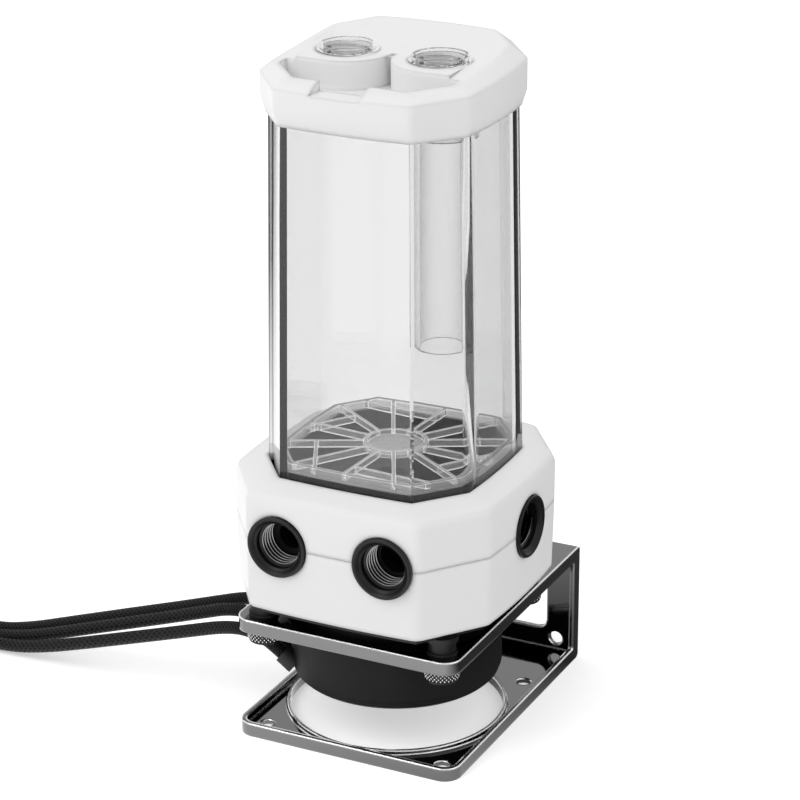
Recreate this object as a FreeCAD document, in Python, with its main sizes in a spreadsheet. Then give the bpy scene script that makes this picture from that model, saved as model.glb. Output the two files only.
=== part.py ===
"""Coolant pump and reservoir on a C-shaped bracket: FreeCAD 1.1 macro, millimetres.

+X runs along the face with two ports, +Y to the back wall of the bracket, +Z up.
The origin is on the pump's axis, at the underside of the bracket's bottom plate.
Every sub-part is an object bound to the sheet "Sizes" and is written to parts/.
"""
import FreeCAD, Part
import math
import os
from collections import namedtuple
from types import SimpleNamespace

import Sketcher

SIZES = {
    # bracket: one folded sheet, open to the front, with all edges turned inwards
    "bracket_width": 68.2,
    "bracket_front": 34.1,
    "bracket_back": 52.4,
    "bracket_height": 36.2,
    "bracket_sheet": 1.5,
    "bracket_lip": 3.9,
    "bracket_corner": 5.0,
    "bracket_bend": 1.4,
    "bolt_spacing": 55.0,
    "bolt_hole_radius": 2.08,
    "motor_opening": 30.6,
    "collar_height": 2.9,
    "collar_wall": 1.0,
    "window_half": 24.5,
    "window_sill": 7.8,
    "window_corner": 3.0,
    "wall_bolt_height": 5.2,
    # clamp ring with four legs, threaded inserts and thumbscrews
    "leg_radius": 3.85,
    "leg_foot_radius": 4.3,
    "leg_foot_height": 0.8,
    "ring_ear_radius": 4.6,
    "ring_bottom": 40.2,
    "ear_thickness": 1.6,
    "insert_radius": 3.0,
    "thread_radius": 2.0,
    "thread_gap": 0.06,
    "screw_reach": 4.8,
    "knob_radius": 4.85,
    "knob_height": 6.4,
    "knob_gap": 0.06,
    "knob_edge": 0.5,
    # pump motor
    "motor_radius": 30.0,
    "motor_wall": 2.0,
    "motor_bottom": 14.4,
    "end_cap_height": 2.3,
    "end_cap_step": 0.6,
    "end_cap_edge": 0.8,
    "spigot_height": 1.2,
    "spigot_wall": 1.5,
    "slip_gap": 0.1,
    "flange_lip": 1.4,
    "flange_thickness": 2.2,
    "board_thickness": 1.6,
    "board_gap": 0.4,
    "core_wall": 4.8,
    "core_bottom": 24.0,
    "core_top": 43.0,
    "coil_depth": 2.5,
    "coil_margin": 1.5,
    "coil_slot": 6.0,
    # separation can, bearing and rotor
    "can_radius": 19.0,
    "can_wall": 0.6,
    "can_flange": 29.4,
    "bearing_post_radius": 2.2,
    "bearing_post_top": 36.0,
    "ball_radius": 2.5,
    "bearing_gap": 0.08,
    "rotor_gap": 0.8,
    "magnet_bore": 8.0,
    "magnet_top": 46.0,
    "carrier_radius": 17.5,
    "impeller_radius": 21.0,
    "disc_gap": 0.6,
    "disc_thickness": 1.6,
    "vane_height": 4.8,
    "vane_thickness": 1.1,
    "vane_tip_x": 12.9,
    "vane_tip_y": 15.2,
    "vane_root": 8.4,
    "vane_bend": 17.0,
    "shroud_thickness": 1.2,
    "eye_radius": 7.0,
    # cowl: two white shells that meet at the height of the ports
    "cowl_bottom": 43.8,
    "port_height": 64.0,
    "crest_rise": 14.4,
    "collar_rise": 1.6,
    "cowl_margin_x": 8.4,
    "cowl_margin_y": 8.9,
    "cowl_leg_x": 13.5,
    "cowl_leg_y": 18.1,
    "cowl_bow": 0.9,
    "cowl_taper": 0.5,
    "cowl_wall": 2.0,
    "cowl_gap": 0.3,
    "parting_gap": 0.16,
    "collar_lip": 0.7,
    "cowl_edge": 4.0,
    "crest_cut": 2.6,
    # manifold and ports
    "manifold_bottom": 48.0,
    "step_rise": 1.8,
    "manifold_rise": 8.5,
    "volute_radius": 24.0,
    "volute_depth": 9.6,
    "inlet_radius": 6.0,
    "inlet_roof": 1.9,
    "slot_half_length": 4.6,
    "slot_radius": 3.0,
    "floor_rise": 1.5,
    "rim_height": 8.5,
    "rim_wall": 1.8,
    "rim_gap": 0.4,
    "port_spacing": 31.8,
    "side_port_y": 2.0,
    "port_bore": 6.58,
    "port_neck": 8.0,
    "port_flange": 8.75,
    "port_flange_height": 1.4,
    "port_length": 8.2,
    "port_seat_gap": 0.25,
    "port_face_bow": 0.25,
    "port_lead_in": 0.8,
    "port_ring": 0.6,
    "passage_radius": 4.0,
    "outlet_radius": 4.7,
    "riser_radius": 4.2,
    "cross_radius": 3.7,
    "ring_radius": 29.9,
    "ring_section": 0.7,
    "screw_x": 27.5,
    "screw_y": 19.5,
    "screw_radius": 1.5,
    "screw_head": 2.7,
    "screw_head_height": 2.4,
    "screw_length": 17.0,
    "screw_gap": 0.05,
    # clear tank with two threaded necks, its seal, screws, grate and dip tube
    "tank_base_half": 30.7,
    "tank_top_half": 28.7,
    "tank_base_leg_x": 10.65,
    "tank_base_leg_y": 13.1,
    "tank_top_leg_x": 9.8,
    "tank_top_leg_y": 11.8,
    "tank_bow": 0.7,
    "tank_wall": 3.0,
    "tank_height": 110.5,
    "tank_ceiling": 4.0,
    "tank_flange": 5.0,
    "tank_flange_height": 2.5,
    "neck_spacing": 27.2,
    "neck_radius": 7.6,
    "neck_collar": 8.5,
    "collar_proud": 0.3,
    "neck_height": 11.4,
    "socket_wall": 1.0,
    "socket_height": 6.0,
    "dip_radius": 7.6,
    "dip_wall": 1.5,
    "dip_length": 65.3,
    "dip_gap": 0.05,
    "seal_inset": 0.6,
    "seal_width": 1.8,
    "seal_height": 1.2,
    "tank_screw_x": 27.8,
    "tank_screw_y": 25.9,
    "tank_screw_head": 2.6,
    "tank_screw_head_height": 1.4,
    "tank_screw_length": 8.5,
    "grate_gap": 0.35,
    "grate_rim": 1.5,
    "grate_height": 2.6,
    "rib_height": 2.0,
    "rib_width": 1.0,
    "rib_turn": 26.5,
    "cross_rib_place": 21.4,
    "hub_radius": 8.5,
    "hub_wall": 1.1,
    "hub_floor": 0.8,
    # white top cover
    "cover_overlap": 4.4,
    "cover_half": 30.9,
    "cover_leg_x": 11.2,
    "cover_leg_y": 13.3,
    "cover_bow": 1.0,
    "bevel_rise": 2.9,
    "crest_tilt": 2.8,
    "cover_rise": 10.3,
    "rim_tilt": 5.0,
    "cover_bevel": 4.6,
    "cover_wall": 1.8,
    "skirt_draft": 1.2,
    "cover_gap": 0.3,
    "cover_edge": 3.0,
    "deck_sink": 0.3,
    "deck_back": 10.0,
    "deck_half": 22.4,
    "deck_corner": 2.6,
    "deck_start": 2.0,
    "trough_rise": 2.0,
    "trough_half": 25.2,
    "trough_leg": 8.6,
    "boss_radius": 13.0,
    "slit_half": 0.7,
    "slit_end": 0.6,
    "notch_half": 7.2,
    "notch_centre": 1.5,
    "notch_rise": 3.5,
    "boss_wall": 1.8,
    "deck_thickness": 2.2,
    "neck_gap": 0.15,
    # leads: three sleeved cables that come together in one coil
    "cable_radius": 1.9,
    "gland_radius": 2.7,
    "gland_length": 5.0,
    "coil_x": 178.0,
    "coil_y": 37.2,
    "coil_reach": 24.0,
    "coil_lift": 0.5,
    "coil_turns": 2.5,
    "coil_fit": 0.3,
    "tie_thickness": 0.5,
    "tie_width": 9.0,
    "tie_slack": 1.0,
    "fan_plug_length": 12.5,
    "fan_plug_width": 10.4,
    "fan_plug_height": 5.8,
    "light_plug_length": 12.5,
    "light_plug_width": 8.6,
    "light_plug_height": 4.6,
    "power_plug_length": 17.0,
    "power_plug_width": 22.4,
    "power_plug_height": 6.8,
}

doc = FreeCAD.newDocument("coolant_pump_reservoir")
sheet = doc.addObject("Spreadsheet::Sheet", "Sizes")
for row, (alias, number) in enumerate(SIZES.items(), start=1):
    sheet.set(f"A{row}", alias)
    sheet.set(f"B{row}", str(number))
    sheet.setAlias(f"B{row}", alias)
doc.recompute()


class Size:
    """A length that carries both its number and the sheet formula that gives it."""

    def __init__(self, value, text=None):
        self.value = float(value)
        self.text = text or repr(float(value))

    def __add__(self, other):
        other = as_size(other)
        return Size(self.value + other.value, f"({self.text} + {other.text})")

    def __sub__(self, other):
        other = as_size(other)
        return Size(self.value - other.value, f"({self.text} - {other.text})")

    def __mul__(self, other):
        other = as_size(other)
        return Size(self.value * other.value, f"({self.text} * {other.text})")

    def __truediv__(self, other):
        other = as_size(other)
        return Size(self.value / other.value, f"({self.text} / {other.text})")

    def __neg__(self):
        return Size(-self.value, f"(0 - {self.text})")

    def __rsub__(self, other):
        return as_size(other) - self

    __radd__ = __add__
    __rmul__ = __mul__


def as_size(value):
    return value if isinstance(value, Size) else Size(value)


def root(square):
    return Size(math.sqrt(square.value), f"sqrt({square.text})")


def hypotenuse(a, b):
    return root(a * a + b * b)


def leg(long_side, short_side):
    """The other short side of a right triangle: where a circle meets a line."""
    return root(long_side * long_side - short_side * short_side)


size = SimpleNamespace(**{alias: Size(number, f"Sizes.{alias}")
                          for alias, number in SIZES.items()})
# places that follow from the sizes: the cowl fits round the tank's foot, and each level
# stands on the one below it
size.cowl_half_x = size.tank_base_half + size.cowl_margin_x
size.cowl_half_y = size.tank_base_half + size.cowl_margin_y
size.cowl_crest = size.port_height + size.crest_rise
size.cowl_top = size.cowl_crest + size.collar_rise
size.manifold_step = size.port_height + size.step_rise
size.manifold_top = size.port_height + size.manifold_rise
size.rim_top = size.manifold_top + size.rim_height
size.tank_top = size.manifold_top + size.tank_height
size.neck_top = size.tank_top + size.neck_height
size.dip_bottom = size.tank_top - size.tank_ceiling - size.dip_length
size.cover_bottom = size.tank_top - size.cover_overlap
size.cover_rim = size.tank_top + size.cover_rise
size.cover_crest = size.cover_rim - size.bevel_rise
size.deck = size.cover_rim - size.deck_sink
size.trough_floor = size.tank_top + size.trough_rise
size.notch_floor = size.trough_floor + size.notch_rise
ZERO = Size(0)
PIECES = []


# ---------------------------------------------------------------- helpers
def piece(kind, label):
    found = doc.addObject(kind, label)
    found.Label = label
    PIECES.append(found)
    return found


def new_body(label):
    return piece("PartDesign::Body", label)


def bind(item, prop, value):
    item.setExpression(prop, as_size(value).text)


def move(item, x=ZERO, y=ZERO, z=ZERO, turn=None):
    """Place a piece, turned first by turn degrees about the upright axis."""
    if turn is not None:
        spin = FreeCAD.Rotation(FreeCAD.Vector(0, 0, 1), turn)
        item.Placement = FreeCAD.Placement(FreeCAD.Vector(), spin)
    for axis, value in zip("xyz", (x, y, z)):
        bind(item, f"Placement.Base.{axis}", value)


def sketch(body, name, role="XY_Plane", raised=ZERO, tilt=None, spin=None):
    """A sketch on one of the body's own planes, raised along its normal."""
    made = body.newObject("Sketcher::SketchObject", name)
    plane = [f for f in body.Origin.OriginFeatures if f.Role == role][0]
    made.AttachmentSupport = [(plane, "")]
    made.MapMode = "FlatFace"
    if tilt is not None or spin is not None:
        axis = FreeCAD.Vector(1, 0, 0) if tilt is not None else FreeCAD.Vector(0, 0, 1)
        angle = tilt if tilt is not None else spin
        turned = FreeCAD.Rotation(axis, angle.value)
        made.AttachmentOffset = FreeCAD.Placement(FreeCAD.Vector(), turned)
        made.setExpression("AttachmentOffset.Rotation.Angle", angle.text)
    bind(made, "AttachmentOffset.Base.z", raised)
    return made


def constrain(made, value, *rule):
    index = made.addConstraint(Sketcher.Constraint(*rule, as_size(value).value))
    made.setExpression(f"Constraints[{index}]", as_size(value).text)


def circle(made, x, y, radius):
    x, y, radius = as_size(x), as_size(y), as_size(radius)
    centre = FreeCAD.Vector(x.value, y.value, 0)
    shape = Part.Circle(centre, FreeCAD.Vector(0, 0, 1), radius.value)
    index = made.addGeometry(shape, False)
    constrain(made, radius, "Radius", index)
    constrain(made, x, "DistanceX", -1, 1, index, 3)
    constrain(made, y, "DistanceY", -1, 1, index, 3)


def outline(made, corners, arcs=None):
    """A closed outline. arcs maps the index of a side to its radius: positive bulges
    to the right of the direction of travel, negative to the left."""
    arcs = arcs or {}
    corners = [(as_size(x), as_size(y)) for x, y in corners]
    count = len(corners)
    ends = []
    for index, (x, y) in enumerate(corners):
        next_x, next_y = corners[(index + 1) % count]
        start = FreeCAD.Vector(x.value, y.value, 0)
        end = FreeCAD.Vector(next_x.value, next_y.value, 0)
        radius = arcs.get(index)
        if radius is None:
            side = made.addGeometry(Part.LineSegment(start, end), False)
            ends.append((side, 1, 2))
            continue
        chord = end - start
        away = FreeCAD.Vector(chord.y, -chord.x, 0).normalize()
        curve = abs(radius.value)
        rise = curve - math.sqrt(max(curve * curve - chord.Length ** 2 / 4, 0))
        middle = (start + end) * 0.5 + away * math.copysign(rise, radius.value)
        if radius.value > 0:
            side = made.addGeometry(Part.Arc(start, middle, end), False)
            ends.append((side, 1, 2))
        else:
            side = made.addGeometry(Part.Arc(end, middle, start), False)
            ends.append((side, 2, 1))
        size_of = radius if radius.value > 0 else -radius
        constrain(made, size_of, "Radius", side)
    for index, (side, start_point, end_point) in enumerate(ends):
        after, after_start, _ = ends[(index + 1) % count]
        joint = Sketcher.Constraint("Coincident", side, end_point, after, after_start)
        made.addConstraint(joint)
        x, y = corners[index]
        constrain(made, x, "DistanceX", -1, 1, side, start_point)
        constrain(made, y, "DistanceY", -1, 1, side, start_point)


def box_outline(made, x_low, y_low, x_high, y_high):
    outline(made, [(x_low, y_low), (x_high, y_low), (x_high, y_high), (x_low, y_high)])


Octagon = namedtuple("Octagon", "half_x half_y leg_x leg_y bow")


def octagon(made, plan, edge=None):
    """A rectangle with cut corners whose four long sides bow outwards; with edge,
    each of the eight corners is rounded to that radius."""
    side_x = plan.half_x - plan.leg_x
    side_y = plan.half_y - plan.leg_y
    if edge is None:
        quarter = [(plan.half_x, side_y), (side_x, plan.half_y)]
        flat_x, flat_y = side_x, side_y
    else:
        slant = hypotenuse(plan.leg_x, plan.leg_y)
        cut_x = edge * plan.leg_x / (slant + plan.leg_y)
        cut_y = edge * plan.leg_y / (slant + plan.leg_x)
        run_x, run_y = plan.leg_x / slant, plan.leg_y / slant
        flat_x, flat_y = side_x - cut_y, side_y - cut_x
        quarter = [
            (plan.half_x, flat_y),
            (plan.half_x - cut_x * run_x, side_y + cut_x * run_y),
            (side_x + cut_y * run_x, plan.half_y - cut_y * run_y),
            (flat_x, plan.half_y),
        ]
    corners = list(quarter)
    corners += [(-x, y) for x, y in reversed(quarter)]
    corners += [(-x, -y) for x, y in quarter]
    corners += [(x, -y) for x, y in reversed(quarter)]
    count = len(quarter)
    along_x = (flat_x * flat_x + plan.bow * plan.bow) / (plan.bow * 2)
    along_y = (flat_y * flat_y + plan.bow * plan.bow) / (plan.bow * 2)
    arcs = {}
    for index in range(4):
        arcs[count * (index + 1) - 1] = along_y if index % 2 else along_x
        if edge is not None:
            arcs[count * index] = edge
            arcs[count * index + 2] = edge
    outline(made, corners, arcs)


def inset(plan, wall):
    """The same octagon with every side moved inwards by wall."""
    slant = hypotenuse(plan.leg_x, plan.leg_y) - plan.leg_x - plan.leg_y
    return Octagon(
        plan.half_x - wall,
        plan.half_y - wall,
        plan.leg_x + wall * slant / plan.leg_y,
        plan.leg_y + wall * slant / plan.leg_x,
        plan.bow,
    )


def between(low, high, share):
    """The octagon that lies share of the way from low to high."""
    return Octagon(*(a + (b - a) * share for a, b in zip(low, high)))


def pad(body, name, profile, length, down=False, both=False):
    made = body.newObject("PartDesign::Pad", name)
    made.Profile = profile
    bind(made, "Length", length)
    made.Reversed = down
    if both:
        made.SideType = "Symmetric"
    return made


def pocket(body, name, profile, length, up=False, both=False):
    made = body.newObject("PartDesign::Pocket", name)
    made.Profile = profile
    bind(made, "Length", length)
    made.Reversed = up
    if both:
        made.SideType = "Symmetric"
    return made


def revolve(body, name, profile):
    made = body.newObject("PartDesign::Revolution", name)
    made.Profile = profile
    made.ReferenceAxis = (profile, ["V_Axis"])
    made.Angle = 360
    return made


def loft(body, name, sections, cut=False):
    kind = "PartDesign::SubtractiveLoft" if cut else "PartDesign::AdditiveLoft"
    made = body.newObject(kind, name)
    made.Profile = sections[0]
    made.Sections = sections[1:]
    made.Ruled = True
    return made


def loft_octagons(body, name, levels, cut=False, edge=None):
    sections = []
    for index, (height, plan) in enumerate(levels):
        section = sketch(body, f"{name}_{index}", raised=height)
        octagon(section, plan, edge)
        sections.append(section)
    return loft(body, name, sections, cut)


def around(body, name, feature, count):
    """Repeat a feature evenly round the upright axis."""
    made = body.newObject("PartDesign::PolarPattern", name)
    axis = [f for f in body.Origin.OriginFeatures if f.Role == "Z_Axis"][0]
    made.Originals = [feature]
    made.Axis = (axis, [""])
    made.Angle = 360
    made.Occurrences = count
    body.Tip = made
    return made


def edges(feature, chosen):
    """Names of the feature's edges for which chosen(start, end) holds."""
    doc.recompute()
    found = []
    for index, edge in enumerate(feature.Shape.Edges, start=1):
        ends = [vertex.Point for vertex in edge.Vertexes]
        if len(ends) == 2 and chosen(*ends):
            found.append(f"Edge{index}")
    return found


def near(value, target, slack=0.02):
    return abs(value - as_size(target).value) < slack


def fillet(body, name, feature, names, radius):
    made = body.newObject("PartDesign::Fillet", name)
    made.Base = (feature, names)
    bind(made, "Radius", radius)
    return made


def four(x, y):
    """The four places (+-x, +-y)."""
    return [(x, y), (-x, y), (-x, -y), (x, -y)]


half_pitch = size.bolt_spacing / 2
BOLTS = four(half_pitch, half_pitch)


def circles(body, name, places, radius, raised=ZERO, role="XY_Plane"):
    made = sketch(body, name, role, raised)
    for x, y in places:
        circle(made, x, y, radius)
    return made


# ---------------------------------------------------------------- bracket
def mounting_bracket():
    """A C of folded sheet with its edges turned in, a collared opening for the motor
    in both plates, and a window and four holes in the back wall."""
    body = new_body("mounting_bracket")
    front, back = -size.bracket_front, size.bracket_back
    top, lip, sheet_wall = size.bracket_height, size.bracket_lip, size.bracket_sheet
    side = size.bracket_width / 2
    profile = sketch(body, "side_profile", "YZ_Plane")
    outline(profile, [
        (front, 0), (back, 0), (back, top), (front, top),
        (front, top - lip), (back - lip, top - lip), (back - lip, lip), (front, lip),
    ])
    block = pad(body, "folded_c", profile, size.bracket_width, both=True)

    def front_corner(a, b):
        return near(a.y, front) and near(b.y, front) and near(abs(a.x), side) \
            and near(a.x, b.x)

    def bend(a, b):
        outer = near(a.z, ZERO) or near(a.z, top)
        return near(a.y, back) and near(b.y, back) and outer and near(a.z, b.z)

    corners = edges(block, front_corner)
    rounded = fillet(body, "front_corners", block, corners, size.bracket_corner)
    bends = fillet(body, "bends", rounded, edges(rounded, bend), size.bracket_bend)
    inside = sketch(body, "inside", raised=sheet_wall)
    box_outline(inside, sheet_wall - side, front + sheet_wall, side - sheet_wall,
                back - sheet_wall)
    hollow = pocket(body, "tray", inside, top - sheet_wall * 2, up=True)

    def tray_corner(a, b):
        return near(a.y, front + sheet_wall) and near(b.y, front + sheet_wall) \
            and near(abs(a.x), side - sheet_wall) and near(a.x, b.x)

    smooth = fillet(body, "tray_corners", hollow, edges(hollow, tray_corner),
                    size.bracket_corner - sheet_wall)
    ring = size.motor_opening + size.collar_wall
    pad(body, "lower_collar", circles(body, "lower_ring", [(ZERO, ZERO)], ring),
        size.collar_height)
    pad(body, "upper_collar", circles(body, "upper_ring", [(ZERO, ZERO)], ring, top),
        size.collar_height, down=True)
    opening = circles(body, "opening", [(ZERO, ZERO)], size.motor_opening, top)
    pocket(body, "motor_openings", opening, top)
    pocket(body, "bolt_holes", circles(body, "bolts", BOLTS, size.bolt_hole_radius, top),
           top)
    window = sketch(body, "window", "XZ_Plane", lip - back)
    box_outline(window, -size.window_half, size.window_sill, size.window_half,
                top - size.window_sill)
    cut = pocket(body, "back_window", window, lip)

    def window_corner(a, b):
        level = near(a.z, size.window_sill) or near(a.z, top - size.window_sill)
        return level and near(abs(a.x), size.window_half) and near(a.x, b.x) \
            and near(a.z, b.z)

    fillet(body, "window_corners", cut, edges(cut, window_corner), size.window_corner)
    rows = (size.wall_bolt_height, top - size.wall_bolt_height)
    places = [(x, z) for z in rows for x in (half_pitch, -half_pitch)]
    bolts = circles(body, "wall_bolts", places, size.bolt_hole_radius, lip - back,
                    "XZ_Plane")
    pocket(body, "wall_bolt_holes", bolts, lip)
    return body


# ---------------------------------------------------------------- cowl outlines
COWL = Octagon(size.cowl_half_x, size.cowl_half_y, size.cowl_leg_x, size.cowl_leg_y,
               size.cowl_bow)
COWL_FOOT = inset(COWL, size.cowl_taper)
CORE = inset(COWL_FOOT, size.cowl_wall + size.cowl_gap)
CORE_TOP = inset(COWL, size.cowl_wall + size.cowl_gap)
TANK_BASE = Octagon(size.tank_base_half, size.tank_base_half, size.tank_base_leg_x,
                    size.tank_base_leg_y, size.tank_bow)
TANK_END = Octagon(size.tank_top_half, size.tank_top_half, size.tank_top_leg_x,
                   size.tank_top_leg_y, size.tank_bow)


def tank_outline(height):
    """The tank's outline at a height: it narrows evenly towards the top."""
    share = (height - size.manifold_top) / (size.tank_top - size.manifold_top)
    return between(TANK_BASE, TANK_END, share)


# ---------------------------------------------------------------- clamp ring
def clamp_ring():
    """Black moulded ring that holds the motor's flange, on four legs."""
    body = new_body("clamp_ring")
    top, low = size.manifold_bottom, size.ring_bottom
    ears = low + size.ear_thickness
    plate = sketch(body, "plate", raised=ears)
    octagon(plate, CORE)
    pad(body, "ring", plate, top - ears)
    round_plate = circles(body, "round_plate", [(ZERO, ZERO)],
                          size.motor_radius + size.flange_lip, low)
    pad(body, "round_step", round_plate, size.ear_thickness)
    pad(body, "ears", circles(body, "ear", BOLTS, size.ring_ear_radius, low),
        size.ear_thickness)
    foot = size.bracket_height
    pad(body, "legs", circles(body, "leg", BOLTS, size.leg_radius, foot), low - foot)
    pad(body, "feet", circles(body, "leg_foot", BOLTS, size.leg_foot_radius, foot),
        size.leg_foot_height)
    bores = circles(body, "insert_bores", BOLTS, size.insert_radius, foot)
    pocket(body, "insert_seats", bores, size.screw_reach, up=True)
    clear = size.motor_radius + size.slip_gap
    pocket(body, "motor_bore", circles(body, "bore", [(ZERO, ZERO)], clear, low),
           top - low, up=True)
    seat = circles(body, "flange_seat", [(ZERO, ZERO)],
                   size.motor_radius + size.flange_lip + size.slip_gap,
                   top - size.flange_thickness)
    pocket(body, "flange_recess", seat, size.flange_thickness, up=True)
    places = four(size.screw_x, size.screw_y)
    heads = circles(body, "head_seats", places, size.screw_head + size.screw_gap, ears)
    pocket(body, "head_recess", heads, size.screw_head_height, up=True)
    shanks = circles(body, "shanks", places, size.screw_radius + size.screw_gap, ears)
    pocket(body, "shank_holes", shanks, top - ears, up=True)
    return body


def threaded_inserts():
    """Brass inserts pressed into the legs, one for each thumbscrew."""
    body = new_body("threaded_inserts")
    foot = size.bracket_height
    pad(body, "sleeves", circles(body, "sleeve", BOLTS, size.insert_radius, foot),
        size.screw_reach)
    threads = circles(body, "thread", BOLTS, size.thread_radius + size.thread_gap, foot)
    pocket(body, "threads", threads, size.screw_reach, up=True)
    return body


def thumbscrew(number, x, y):
    """Knurled screw that holds the bracket's top plate to a leg."""
    body = new_body(f"thumbscrew_{number}")
    seat = size.bracket_height - size.bracket_sheet - size.knob_gap
    low, high = seat - size.knob_height, size.bracket_height + size.screw_reach - 0.5
    knob, edge, shank = size.knob_radius, size.knob_edge, size.thread_radius
    profile = sketch(body, "profile", "XZ_Plane")
    outline(profile, [
        (0, low), (knob - edge, low), (knob, low + edge), (knob, seat - edge),
        (knob - edge, seat), (shank, seat), (shank, high), (0, high),
    ])
    revolve(body, "turned", profile)
    move(body, x, y)
    return body


# ---------------------------------------------------------------- motor
def pump_housing():
    """Matte black motor case with a flange round its top."""
    body = new_body("pump_housing")
    outer, inner = size.motor_radius, size.motor_radius - size.motor_wall
    low, top = size.motor_bottom + size.end_cap_height, size.manifold_bottom
    flange = outer + size.flange_lip
    seat = size.can_flange + size.slip_gap
    profile = sketch(body, "profile", "XZ_Plane")
    outline(profile, [
        (inner, low), (outer, low), (outer, top - size.flange_thickness),
        (flange, top - size.flange_thickness), (flange, top), (seat, top),
        (seat, top - size.can_wall), (inner, top - size.can_wall),
    ])
    revolve(body, "case", profile)
    return body


def motor_end_cap():
    """Cap that closes the motor from below, with a spigot inside the case."""
    body = new_body("motor_end_cap")
    low, high = size.motor_bottom, size.motor_bottom + size.end_cap_height
    rim = size.motor_radius - size.end_cap_step
    spigot = size.motor_radius - size.motor_wall - size.slip_gap
    edge, ring = size.end_cap_edge, spigot - size.spigot_wall
    profile = sketch(body, "profile", "XZ_Plane")
    outline(profile, [
        (0, low), (rim - edge, low), (rim, low + edge), (rim, high), (spigot, high),
        (spigot, high + size.spigot_height), (ring, high + size.spigot_height),
        (ring, high), (0, high),
    ])
    revolve(body, "cap", profile)
    return body


def control_board():
    """Round circuit board over the end cap."""
    body = new_body("control_board")
    low = size.motor_bottom + size.end_cap_height + size.spigot_height + size.board_gap
    rim = size.motor_radius - size.motor_wall - size.slip_gap
    disc = circles(body, "disc", [(ZERO, ZERO)], rim, low)
    pad(body, "board", disc, size.board_thickness)
    return body


def stator_core():
    """Ring of steel laminations inside the case."""
    body = new_body("stator_core")
    rim = size.motor_radius - size.motor_wall - size.slip_gap
    ring = sketch(body, "ring", raised=size.core_bottom)
    circle(ring, 0, 0, rim)
    circle(ring, 0, 0, rim - size.core_wall)
    pad(body, "laminations", ring, size.core_top - size.core_bottom)
    return body


def stator_coils():
    """Six windings inside the core, round the can."""
    body = new_body("stator_coils")
    outer = size.motor_radius - size.motor_wall - size.slip_gap * 2 - size.core_wall
    inner = outer - size.coil_depth
    low = size.core_bottom + size.coil_margin
    length = size.core_top - size.core_bottom - size.coil_margin * 2
    ring = sketch(body, "ring", raised=low)
    circle(ring, 0, 0, outer)
    circle(ring, 0, 0, inner)
    pad(body, "windings", ring, length)
    gap = sketch(body, "gap", raised=low)
    box_outline(gap, inner - 1, -size.coil_slot / 2, outer + 1, size.coil_slot / 2)
    slot = pocket(body, "slot", gap, length, up=True)
    around(body, "slots", slot, 6)
    return body


def separation_can():
    """Thin stainless bowl that keeps the coolant out of the motor; the bearing's post
    stands in its middle."""
    body = new_body("separation_can")
    top, inner = size.manifold_bottom, size.can_radius
    outer, post = size.can_radius + size.can_wall, size.bearing_post_radius
    below = top - size.can_wall
    profile = sketch(body, "profile", "XZ_Plane")
    outline(profile, [
        (0, top - outer), (leg(outer, size.can_wall), below), (size.can_flange, below),
        (size.can_flange, top), (inner, top), (post, top - leg(inner, post)),
        (post, size.bearing_post_top), (0, size.bearing_post_top),
    ], {0: outer, 4: -inner})
    revolve(body, "bowl", profile)
    return body


def bearing_ball():
    """Ceramic ball on the post: the rotor's only bearing."""
    ball = piece("Part::Sphere", "bearing_ball")
    bind(ball, "Radius", size.ball_radius)
    move(ball, z=size.bearing_post_top + size.ball_radius)
    return ball


BALL_HEIGHT = size.bearing_post_top + size.ball_radius


def rotor_magnet():
    """Ring magnet with a spherical underside that follows the can."""
    body = new_body("rotor_magnet")
    top, bore = size.magnet_top, size.magnet_bore
    ball = size.can_radius - size.rotor_gap
    centre = size.manifold_bottom
    profile = sketch(body, "profile", "XZ_Plane")
    outline(profile, [
        (bore, centre - leg(ball, bore)), (leg(ball, centre - top), top), (bore, top),
    ], {0: ball})
    revolve(body, "magnet", profile)
    return body


def impeller():
    """Shrouded impeller with six swept-back vanes; its hub sits over the ball."""
    body = new_body("impeller")
    socket = size.ball_radius + size.bearing_gap
    low = BALL_HEIGHT - 0.3
    mouth = leg(socket, Size(0.3))
    disc = size.manifold_bottom + size.disc_gap
    floor = disc + size.disc_thickness
    profile = sketch(body, "hub_profile", "XZ_Plane")
    outline(profile, [
        (mouth, low), (size.magnet_bore, low), (size.magnet_bore, size.magnet_top),
        (size.carrier_radius, size.magnet_top), (size.carrier_radius, disc),
        (size.impeller_radius, disc), (size.impeller_radius, floor), (0, floor),
        (0, BALL_HEIGHT + socket),
    ], {8: -socket})
    revolve(body, "hub", profile)
    vane = sketch(body, "vane_plan", raised=floor)
    root_x, tip_x, tip_y = size.vane_root, size.vane_tip_x, size.vane_tip_y
    wide = size.vane_thickness
    outline(vane, [
        (root_x, 0), (tip_x, -tip_y), (tip_x + wide, -tip_y + wide / 2),
        (root_x + wide, wide),
    ], {0: -size.vane_bend, 2: size.vane_bend})
    one = pad(body, "vane", vane, size.vane_height)
    around(body, "vanes", one, 6)
    shroud = sketch(body, "shroud_plan", raised=floor + size.vane_height)
    circle(shroud, 0, 0, size.impeller_radius)
    circle(shroud, 0, 0, size.eye_radius)
    body.Tip = pad(body, "shroud", shroud, size.shroud_thickness)
    return body


def flange_seal():
    """O-ring between the motor's flange and the manifold."""
    ring = piece("Part::Torus", "flange_seal")
    bind(ring, "Radius1", size.ring_radius)
    bind(ring, "Radius2", size.ring_section)
    move(ring, z=size.manifold_bottom + size.ring_section)
    return ring


# ---------------------------------------------------------------- manifold and ports
FRONT_SEAT = size.cowl_half_y + size.port_face_bow
SIDE_SEAT = size.cowl_half_x + size.port_face_bow
HALF_PORTS = size.port_spacing / 2


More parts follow.
